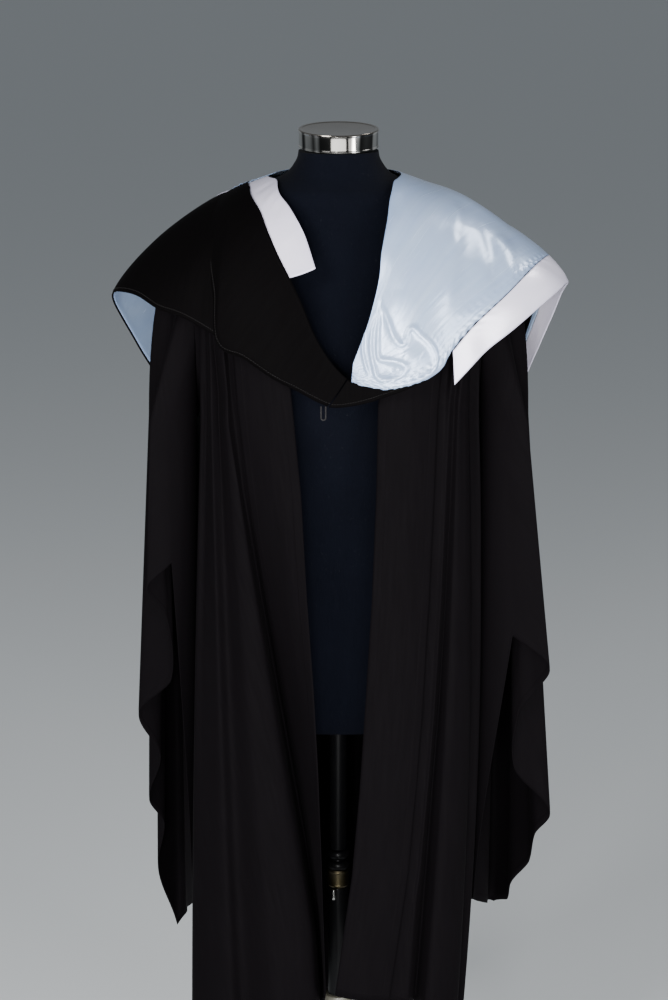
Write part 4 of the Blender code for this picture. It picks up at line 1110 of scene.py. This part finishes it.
def sleeve_grid(side, rows=76, head_rows=16, steps=12):
    table = np.array(SLEEVES[side])
    sign = SIDES[side]
    folds = len(table)
    columns = folds * steps
    fractions = np.arange(columns) / columns
    upper = spline(table[:, :2], fractions, closed=True)
    lower = spline(table[:, 2:4], fractions, closed=True)
    places = fractions * folds
    hems = np.interp(places, range(folds + 1), [*table[:, 4], table[0, 4]])
    outer_folds = SLEEVE_OUTER_FOLDS[side]
    turns = np.where(places <= outer_folds, pi * places / outer_folds,
                     pi + pi * (places - outer_folds) / (folds - outer_folds))
    top_z = UNDERARM_Z - 0.006
    grid = np.zeros((head_rows + rows, columns, 3))
    for column, turn in enumerate(turns):
        rim_y, rim_z = -ARMHOLE_HALF_DEPTH * cos(turn), ARMHOLE_Z + ARMHOLE_HALF_HEIGHT * sin(turn)
        rim = np.array((sign * ARMHOLE_X, rim_y, rim_z))
        start = np.array((sign * upper[column][0], upper[column][1], top_z))
        end = np.array((sign * lower[column][0], lower[column][1], hems[column]))
        reach = max(0.0, sin(turn))
        corner = np.array((blend(rim[0], start[0], 0.35 + 0.6 * reach), start[1],
                           blend(start[2], rim[2], 0.5 + 0.45 * reach)))
        for row in range(head_rows + rows):
            if row < head_rows:
                t = row / head_rows
                grid[row, column] = rim * (1 - t) ** 2 + corner * 2 * t * (1 - t) + start * t * t
            else:
                grid[row, column] = blend(start, end, (row - head_rows) / (rows - 1))
    return grid


def facing_out(grid, side):
    """Grid with its columns turned round on the left, so that its outer face is outward."""
    return grid[:, ::-1] if side == "left" else grid


def creased(grid, rows, closed=False, still=0.03):
    """Grid with listed creases, fading out at the top seam."""
    height, width = grid.shape[:2]
    u, v = np.meshgrid(np.linspace(0, 1, width), np.linspace(0, 1, height))
    size = (float(arc_lengths(grid, 1)[:, -1].mean()), float(arc_lengths(grid, 0)[-1].mean()))
    lift = crease_height(u, v, rows, size) * smooth_step(v, 0.0, still)
    if not closed:
        lift *= smooth_step(u, 0.0, 0.03) * smooth_step(1 - u, 0.0, 0.03)
    return grid + grid_normals(grid, closed) * lift[..., None]


# Hood

def hood_grid(table, rows, steps, creases=(), start=0.0, end=1.0, roll=None, swirls=()):
    """Grid on the shoulder surface between the two outlines of a station table."""
    table = np.array(table, float)
    stations = spline(table, np.linspace(0, 1, (len(table) - 1) * steps + 1))
    t = np.linspace(start, end, rows)[:, None]
    azimuth = stations[:, 0] * (1 - t) + stations[:, 2] * t
    drop = stations[:, 1] * (1 - t) + stations[:, 3] * t
    lift = np.broadcast_to(stations[:, 4], azimuth.shape)
    if creases:
        lift = lift + crease_height(azimuth, drop, creases, HOOD_SCALE)
    if swirls:
        lift = lift + swirl_height(azimuth, drop, swirls, HOOD_SCALE)
    grid = shoulder(azimuth, drop) + shoulder_normal(azimuth, drop) * lift[..., None]
    if roll:
        share = np.linspace(0, 1, grid.shape[1])
        depth, width = (np.interp(share, ROLL_PLACES, row) for row in roll)
        away = arc_lengths(grid, 0)
        away = away[-1] - away
        turn = smooth_step(1 - away / width, 0, 1) ** 1.2
        grid = grid - shoulder_normal(azimuth, drop) * (depth * turn)[..., None]
    return grid[:, ::-1] if table[-1, 0] > table[0, 0] else grid


def drop_for_length(azimuth, start, length):
    drops = np.linspace(start, 0.999, 200)
    points = shoulder(np.full_like(drops, azimuth), drops)
    run = np.insert(np.cumsum(np.linalg.norm(np.diff(points, axis=0), axis=1)), 0, 0.0)
    return float(np.interp(length, run, drops))


def border_table():
    seam = 2.2 * SEAM_GAP / HOOD_LENGTH
    rows = []
    for _, _, azimuth, drop in PANEL[BORDER_FROM:]:
        lift = PANEL_LIFT - BORDER_SETTLE * smooth_step(azimuth, *BORDER_SETTLES)
        rows.append((azimuth, drop + seam, azimuth, drop_for_length(azimuth, drop, BORDER_WIDTH), lift))
    return rows


def seam_pucker(grid, from_row, depth, reach):
    """Short uneven puckers that fade away from a seam at the first or last row."""
    down = arc_lengths(grid, 0)
    away = down if from_row == 0 else down[-1] - down
    run = arc_lengths(grid, 1)
    wave = np.sin(run * tau / 0.0125 + 1.7 * np.sin(run * tau / 0.083) + 0.9 * np.sin(run * tau / 0.031))
    size = 0.55 + 0.45 * np.sin(run * tau / 0.147 + 0.6)
    lift = depth * wave * size * np.exp(-away / reach)
    return grid + grid_normals(grid) * lift[..., None]


def hem_line(grid, inset, side="bottom"):
    """Line of stitches a little inside one edge of a grid, with its normals."""
    normals = grid_normals(grid)
    if side in ("start", "end"):
        grid, normals = grid.transpose(1, 0, 2), normals.transpose(1, 0, 2)
    if side in ("bottom", "end"):
        grid, normals = grid[::-1], normals[::-1]
    run = arc_lengths(grid, 0)
    path, up = [], []
    for column in range(grid.shape[1]):
        place = np.interp(inset, run[:, column], np.arange(len(grid)))
        low = int(place)
        share = place - low
        high = min(low + 1, len(grid) - 1)
        path.append(blend(grid[low, column], grid[high, column], share))
        up.append(blend(normals[low, column], normals[high, column], share))
    return np.array(path), np.array(up)


# Add-on

class GownSizes(bpy.types.PropertyGroup):
    rib_pitch: FloatProperty(name="Rib pitch", description="Spacing of the gown cloth's upright ribs",
                             default=0.0011, min=0.0003, unit="LENGTH")
    hem_depth: FloatProperty(name="Hem depth", description="Width of the turned hem",
                             default=0.012, min=0.002, unit="LENGTH")
    pucker: FloatProperty(name="Seam pucker", description="Height of the puckers along the border's seam",
                          default=0.0016, min=0.0, unit="LENGTH")
    camera_distance: FloatProperty(name="Camera distance", description="Distance of the camera from the stand",
                                   default=3.2, min=1.0, unit="LENGTH")


class GownColours(bpy.types.PropertyGroup):
    gown: FloatVectorProperty(name="Gown", description="Gown cloth", subtype="COLOR",
                              default=(0.0020, 0.0016, 0.0020))
    hood: FloatVectorProperty(name="Hood", description="Hood cloth", subtype="COLOR",
                              default=(0.0010, 0.0008, 0.0009))
    satin: FloatVectorProperty(name="Satin", description="Lining satin", subtype="COLOR",
                               default=(0.45, 0.54, 0.68))
    # The satin and border shade colours are painted shade: how each satin looks in shade, mixed into its lit
    # colour
    satin_painted_shade: FloatVectorProperty(name="Satin shade", description="Lining satin where it is deepest",
                                    subtype="COLOR", default=(0.21, 0.31, 0.52))
    border: FloatVectorProperty(name="Border", description="Border satin", subtype="COLOR",
                                default=(0.96, 0.92, 1.0))
    border_painted_shade: FloatVectorProperty(name="Border shade", description="Border satin where it is deepest",
                                     subtype="COLOR", default=(0.68, 0.64, 0.82))
    jersey: FloatVectorProperty(name="Jersey", description="Dress form cover", subtype="COLOR",
                                default=(0.0016, 0.0020, 0.0040))


def sizes():
    return bpy.context.scene.gown_sizes


def colours():
    return bpy.context.scene.gown_colours


def gown_cloth():
    return bpy.data.materials.get("gown_crepe") or cloth_material(
        "gown_crepe", colours().gown, sizes().rib_pitch, sizes().hem_depth)


def hood_cloth():
    return bpy.data.materials.get("hood_faille") or cloth_material(
        "hood_faille", colours().hood, sizes().rib_pitch * 0.8, 0.005, rough=0.80, sheen=0.003)


def lining_satin():
    return bpy.data.materials.get("lining_satin") or satin_material(
        "lining_satin", colours().satin, colours().satin_painted_shade, 0.19)


def border_satin():
    return bpy.data.materials.get("border_satin") or satin_material(
        "border_satin", colours().border, colours().border_painted_shade, 0.24)


class GOWN_OT_form(bpy.types.Operator):
    """Make the jersey-covered dress form and its chrome neck cap"""
    bl_idname = "gown.form"
    bl_label = "Dress form"

    def execute(self, context):
        rings = np.array(FORM_RINGS)
        levels = spline(rings, np.linspace(0, 1, (len(rings) - 1) * 5 + 1))
        segments = 112
        turns = np.arange(segments) * tau / segments
        power = 2.0 / FORM_SQUARENESS
        x = np.sign(np.cos(turns)) * np.abs(np.cos(turns)) ** power
        y = np.sign(np.sin(turns)) * np.abs(np.sin(turns)) ** power
        points = [(w * x[i], c + d * y[i], z) for z, w, d, c in levels for i in range(segments)]
        mesh = new_mesh("torso_jersey", points, tube_faces(len(levels), segments))
        jersey = jersey_material("form_jersey", colours().jersey)
        add_piece("torso_jersey", mesh, jersey, "form_torso")
        mesh.set_sharp_from_angle(angle=radians(50))

        low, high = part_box("neck_cap")
        radius, height = CAP_RADIUS, CAP_HEIGHT
        profile = rounded((
            (radius - 0.0040, 0.0), (radius - 0.0004, 0.0), (radius - 0.0002, 0.0022), (radius - 0.0009, 0.0030),
            (radius - 0.0009, height - 0.0034), (radius, height - 0.0024), (radius - 0.0008, height),
            (radius - 0.0042, height - 0.0002), (radius - 0.0052, height - 0.0009), (0.002, height - 0.0009),
        ), 0.0007)
        foot = FORM_RINGS[-1][0] + radius * sin(CAP_TILT) + SEAM_GAP
        chrome = chrome_material("cap_chrome", foot * cos(CAP_TILT) - CAP_Y * sin(CAP_TILT) + height, CAP_TILT)
        turned("neck_cap_chrome", profile, chrome, "neck_cap", 128, CAP_TILT,
               (0.5 * (low[0] + high[0]), CAP_Y, foot))
        return {"FINISHED"}


class GOWN_OT_stand(bpy.types.Operator):
    """Make the pole, rings, clamp, column, hub and base"""
    bl_idname = "gown.stand"
    bl_label = "Stand"

    def execute(self, context):
        black = metal_material("stand_lacquer", (0.003, 0.003, 0.0035), 0.34, 0.0, scratch=0.06, grime=0.02,
                               coat=0.03, gloss=0.10)
        brass = metal_material("clamp_brass", (0.075, 0.062, 0.032), 0.36, 1.0, scratch=0.10, grime=0.5)
        steel = metal_material("lever_steel", (0.56, 0.55, 0.53), 0.22, 1.0, scratch=0.08, grime=0.2)
        olive = metal_material("base_enamel", (0.095, 0.090, 0.070), 0.42, 0.0, scratch=0.08, grime=0.35,
                               coat=0.15)

        def span(node):
            low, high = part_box(node)
            return low[2], high[2], 0.5 * (high[0] - low[0])

        foot, top, radius = span("stand_pole")
        turned("pole_lacquered", rounded(((radius - 0.001, foot), (radius, foot + 0.001), (radius, top))),
               black, "stand_pole", 48)
        for number in (1, 2):
            foot, top, _ = span(f"stand_bead_{number}")
            profile = [(BEAD_WAIST, foot)]
            for turn in np.arange(13) * pi / 12:
                radius = BEAD_WAIST + (BEAD_BELLY - BEAD_WAIST) * sin(turn) ** 0.8
                profile.append((radius, foot + (top - foot) * (1 - cos(turn)) / 2))
            profile.append((BEAD_WAIST, top))
            turned(f"bead_{number}_lacquered", profile, black, f"stand_bead_{number}", 56)
        foot, top, radius = span("stand_spacer")
        turned("spacer_lacquered", [(radius, foot), (radius - 0.0006, 0.5 * (foot + top)), (radius, top)],
               black, "stand_spacer", 48)
        foot, top, radius = span("stand_clamp")
        profile = rounded(((radius - 0.0016, foot), (radius, foot + 0.003), (radius - 0.0007, foot + 0.0042),
                           (radius - 0.0007, top - 0.0042), (radius, top - 0.003), (radius - 0.0016, top)))
        turned("clamp_collar", profile, brass, "stand_clamp", 64)
        low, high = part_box("clamp_lever")
        centre = (0.5 * (low[0] + high[0]), 0.5 * (low[1] + high[1]), low[2])
        length, radius = high[2] - low[2], 0.5 * (high[0] - low[0])
        profile = rounded(((0.0010, 0.0), (0.0022, 0.0008), (radius, 0.004), (radius, length - 0.001),
                           (0.0022, length)), 0.0008)
        turned("lever_screw", profile, steel, "clamp_lever", 32, 0.0, centre)
        foot, top, radius = span("stand_column")
        turned("column_lacquered", rounded(((radius, foot), (radius, top - 0.001), (radius - 0.001, top))),
               black, "stand_column", 48)
        foot, top, _ = span("stand_hub")
        edge = foot + HUB_FOOT_EDGE
        profile = [(HUB_FOOT_RADIUS + 0.0008, foot), (HUB_FOOT_RADIUS, edge)]
        for turn in np.arange(1, 9) * pi / 16:
            radius = HUB_FOOT_RADIUS - (HUB_FOOT_RADIUS - HUB_NECK_RADIUS) * sin(turn)
            profile.append((radius, edge + HUB_COVE_HEIGHT * (1 - cos(turn))))
        profile += [(HUB_NECK_RADIUS, 0.150), (HUB_NECK_RADIUS, top - 0.003),
                    (HUB_NECK_RADIUS - 0.001, top - 0.0008), (HUB_NECK_RADIUS - 0.003, top)]
        turned("hub_enamelled", profile, olive, "stand_hub", 72)
        foot, top, radius = span("stand_base")
        profile = rounded(((radius - 0.0015, foot), (radius, foot + 0.0015), (radius, top - 0.004),
                           (radius - 0.0045, top - 0.0002), (radius - 0.012, top), (0.034, top)), 0.003, 6)
        turned("base_enamelled", profile, olive, "stand_base", 160)
        return {"FINISHED"}


class GOWN_OT_bands(bpy.types.Operator):
    """Make the two wide front bands"""
    bl_idname = "gown.bands"
    bl_label = "Front bands"

    def execute(self, context):
        for side in SIDES:
            grid = creased(facing_out(band_grid(side), side), BAND_CREASES)
            add_cloth(f"band_{side}_crepe", f"gown_band_{side}", grid, gown_cloth(),
                      thickness=0.0013, hems=("bottom", "start", "end"), held="hung")
        return {"FINISHED"}


class GOWN_OT_fronts(bpy.types.Operator):
    """Make the two pleated fronts"""
    bl_idname = "gown.fronts"
    bl_label = "Fronts"

    def execute(self, context):
        for side in SIDES:
            grid = creased(facing_out(front_grid(side), side), FRONT_CREASES)
            add_cloth(f"front_{side}_crepe", f"gown_front_{side}", grid, gown_cloth(),
                      hems=("bottom",), held="hung")
        return {"FINISHED"}


class GOWN_OT_back(bpy.types.Operator):
    """Make the yoke and the gathered back"""
    bl_idname = "gown.back"
    bl_label = "Back and yoke"

    def execute(self, context):
        add_cloth("back_crepe", "gown_back", back_grid()[:, ::-1], gown_cloth(),
                  hems=("bottom",), held="hung")
        add_cloth("yoke_crepe", "gown_yoke", yoke_grid(), gown_cloth(),
                  hems=("top",), held="draped")
        return {"FINISHED"}


class GOWN_OT_sleeves(bpy.types.Operator):
    """Make the two open bell sleeves"""
    bl_idname = "gown.sleeves"
    bl_label = "Sleeves"

    def execute(self, context):
        for side in SIDES:
            grid = creased(facing_out(sleeve_grid(side), side), SLEEVE_CREASES, closed=True, still=0.15)
            add_cloth(f"sleeve_{side}_crepe", f"gown_sleeve_{side}", grid, gown_cloth(),
                      closed=True, hems=("bottom",), held="hung")
        return {"FINISHED"}


class GOWN_OT_hood(bpy.types.Operator):
    """Make the hood's black shell, its turned front, neckband and loop"""
    bl_idname = "gown.hood"
    bl_label = "Hood shell"

    def execute(self, context):
        cape = hood_grid(CAPE, 46, 9, CAPE_CREASES)
        add_cloth("cape_faille", "hood_cape", cape, hood_cloth(),
                  hems=("bottom",))
        scarf = hood_grid(SCARF, 34, 12, SCARF_CREASES, roll=SCARF_ROLL)
        add_cloth("scarf_faille", "hood_scarf", scarf, hood_cloth(), thickness=0.0013,
                  hems=("top", "bottom", "start"), held="folded")
        neckband = hood_grid(NECKBAND, 14, 12)
        add_cloth("neckband_faille", "hood_neckband", neckband, hood_cloth(), thickness=0.0013,
                  hems=("top", "bottom"))
        lines = [hem_line(cape, 0.0055), hem_line(scarf, 0.0055), hem_line(neckband, 0.005)]
        thread = thread_material("hood_thread", (0.012, 0.011, 0.011))
        add_stitches("hood_hem_stitches", lines, thread)
        low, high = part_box("hood_loop")
        reach = 0.5 * (high[1] - low[1])
        half = 0.5 * (high[0] - low[0]) - reach
        middle = (0.5 * (low[0] + high[0]), 0.5 * (low[1] + high[1]), low[2] + reach + half)
        legs, bend = 60, 40
        path = [(middle[0] - half, middle[1], z)
                for z in np.linspace(high[2], middle[2], legs, endpoint=False)]
        for turn in np.linspace(pi, tau, bend, endpoint=False):
            path.append((middle[0] + half * cos(turn), middle[1], middle[2] + half * sin(turn)))
        path += [(middle[0] + half, middle[1], z) for z in np.linspace(middle[2], high[2], legs)]
        add_cord("loop_cord", path, reach, "hood_loop", thread)
        return {"FINISHED"}


class GOWN_OT_satin(bpy.types.Operator):
    """Make the hood's satin lining, its turned-out panel, the border and the neck strip"""
    bl_idname = "gown.satin"
    bl_label = "Hood satin"

    def execute(self, context):
        depth = sizes().pucker
        lining = np.array(CAPE[LINING_STATIONS]) - (0, 0, 0, 0, LINING_DEPTH)
        grid = hood_grid(lining, 30, 9, CAPE_CREASES, 0.5, 0.992)
        add_cloth("lining_satin", "hood_lining", grid, lining_satin(), SATIN,
                  hems=("bottom",))
        panel = hood_grid([(*row, PANEL_LIFT) for row in PANEL], 110, 14, PANEL_CREASES, roll=PANEL_ROLL,
                          swirls=PANEL_SWIRLS)
        panel = seam_pucker(panel, -1, depth, PUCKER_REACH)
        add_cloth("panel_satin", "hood_panel", panel, lining_satin(), SATIN,
                  hems=("top", "end"))
        border = hood_grid(border_table(), 24, 9, BORDER_CREASES)
        border = seam_pucker(border, 0, depth * 0.6, 0.7 * PUCKER_REACH)
        add_cloth("border_satin", "hood_border", border, border_satin(), SATIN,
                  hems=("bottom", "end"))
        strip = hood_grid(STRIP, 22, 14, STRIP_CREASES)
        add_cloth("strip_satin", "hood_strip", strip, border_satin(), SATIN,
                  hems=("top", "start"))
        return {"FINISHED"}


class GOWN_OT_stage(bpy.types.Operator):
    """Make the floor, the soft lights and the camera"""
    bl_idname = "gown.stage"
    bl_label = "Stage"

    def execute(self, context):
        corners = [(x * FLOOR_REACH, y * FLOOR_REACH, 0) for x, y in ((-1, -1), (1, -1), (1, 1), (-1, 1))]
        mesh = new_mesh("floor", corners, [(0, 1, 2, 3)])
        floor = bpy.data.objects.new("floor", mesh)
        made, shader, wire = new_material("pale_floor")
        connect(shader, {},
                {"Base Color": (0.60, 0.62, 0.63, 1.0), "Roughness": 0.9, "Specular IOR Level": 0.1})
        mesh.materials.append(made)
        context.scene.collection.objects.link(floor)

        world = bpy.data.worlds.new("studio")
        world.use_nodes = True
        background = world.node_tree.nodes["Background"]
        background.inputs[0].default_value = STUDIO_COLOUR
        background.inputs[1].default_value = STUDIO_STRENGTH
        context.scene.world = world

        for name, place, aim, width, height, power in SOFTBOXES:
            light = bpy.data.lights.new(name, "AREA")
            light.shape = "RECTANGLE"
            light.size = width
            light.size_y = height
            light.energy = power
            lamp = bpy.data.objects.new(name, light)
            lamp.location = place
            ahead = np.array(aim) - np.array(place)
            flat = sqrt(ahead[0] ** 2 + ahead[1] ** 2)
            lamp.rotation_euler = (pi / 2 + np.arctan2(ahead[2], flat), 0.0, np.arctan2(-ahead[0], ahead[1]))
            context.scene.collection.objects.link(lamp)

        lens = bpy.data.cameras.new("camera")
        lens.lens = CAMERA_LENS
        camera = bpy.data.objects.new("camera", lens)
        camera.location = (CAMERA_X, -sizes().camera_distance, CAMERA_HEIGHT)
        camera.rotation_euler = (CAMERA_TILT, 0.0, 0.0)
        context.scene.collection.objects.link(camera)
        context.scene.camera = camera
        return {"FINISHED"}


OPERATORS = (GOWN_OT_form, GOWN_OT_stand, GOWN_OT_back, GOWN_OT_bands, GOWN_OT_fronts, GOWN_OT_sleeves,
             GOWN_OT_hood, GOWN_OT_satin, GOWN_OT_stage)


class GOWN_PT_panel(bpy.types.Panel):
    """Lists the gown's pieces, sizes and colours"""
    bl_idname = "GOWN_PT_panel"
    bl_label = "Graduation gown"
    bl_space_type = "VIEW_3D"
    bl_region_type = "UI"
    bl_category = "Gown"

    def draw(self, context):
        layout = self.layout
        for group in (context.scene.gown_sizes, context.scene.gown_colours):
            for name in group.__annotations__:
                layout.prop(group, name)
        for operator in OPERATORS:
            layout.operator(operator.bl_idname)


CLASSES = (GownSizes, GownColours, *OPERATORS, GOWN_PT_panel)


def register():
    for each in CLASSES:
        bpy.utils.register_class(each)
    bpy.types.Scene.gown_sizes = PointerProperty(type=GownSizes)
    bpy.types.Scene.gown_colours = PointerProperty(type=GownColours)


def unregister():
    del bpy.types.Scene.gown_colours
    del bpy.types.Scene.gown_sizes
    for each in reversed(CLASSES):
        bpy.utils.unregister_class(each)


def main():
    register()
    for operator in OPERATORS:
        group, name = operator.bl_idname.split(".")
        getattr(getattr(bpy.ops, group), name)()


if __name__ == "__main__":
    main()
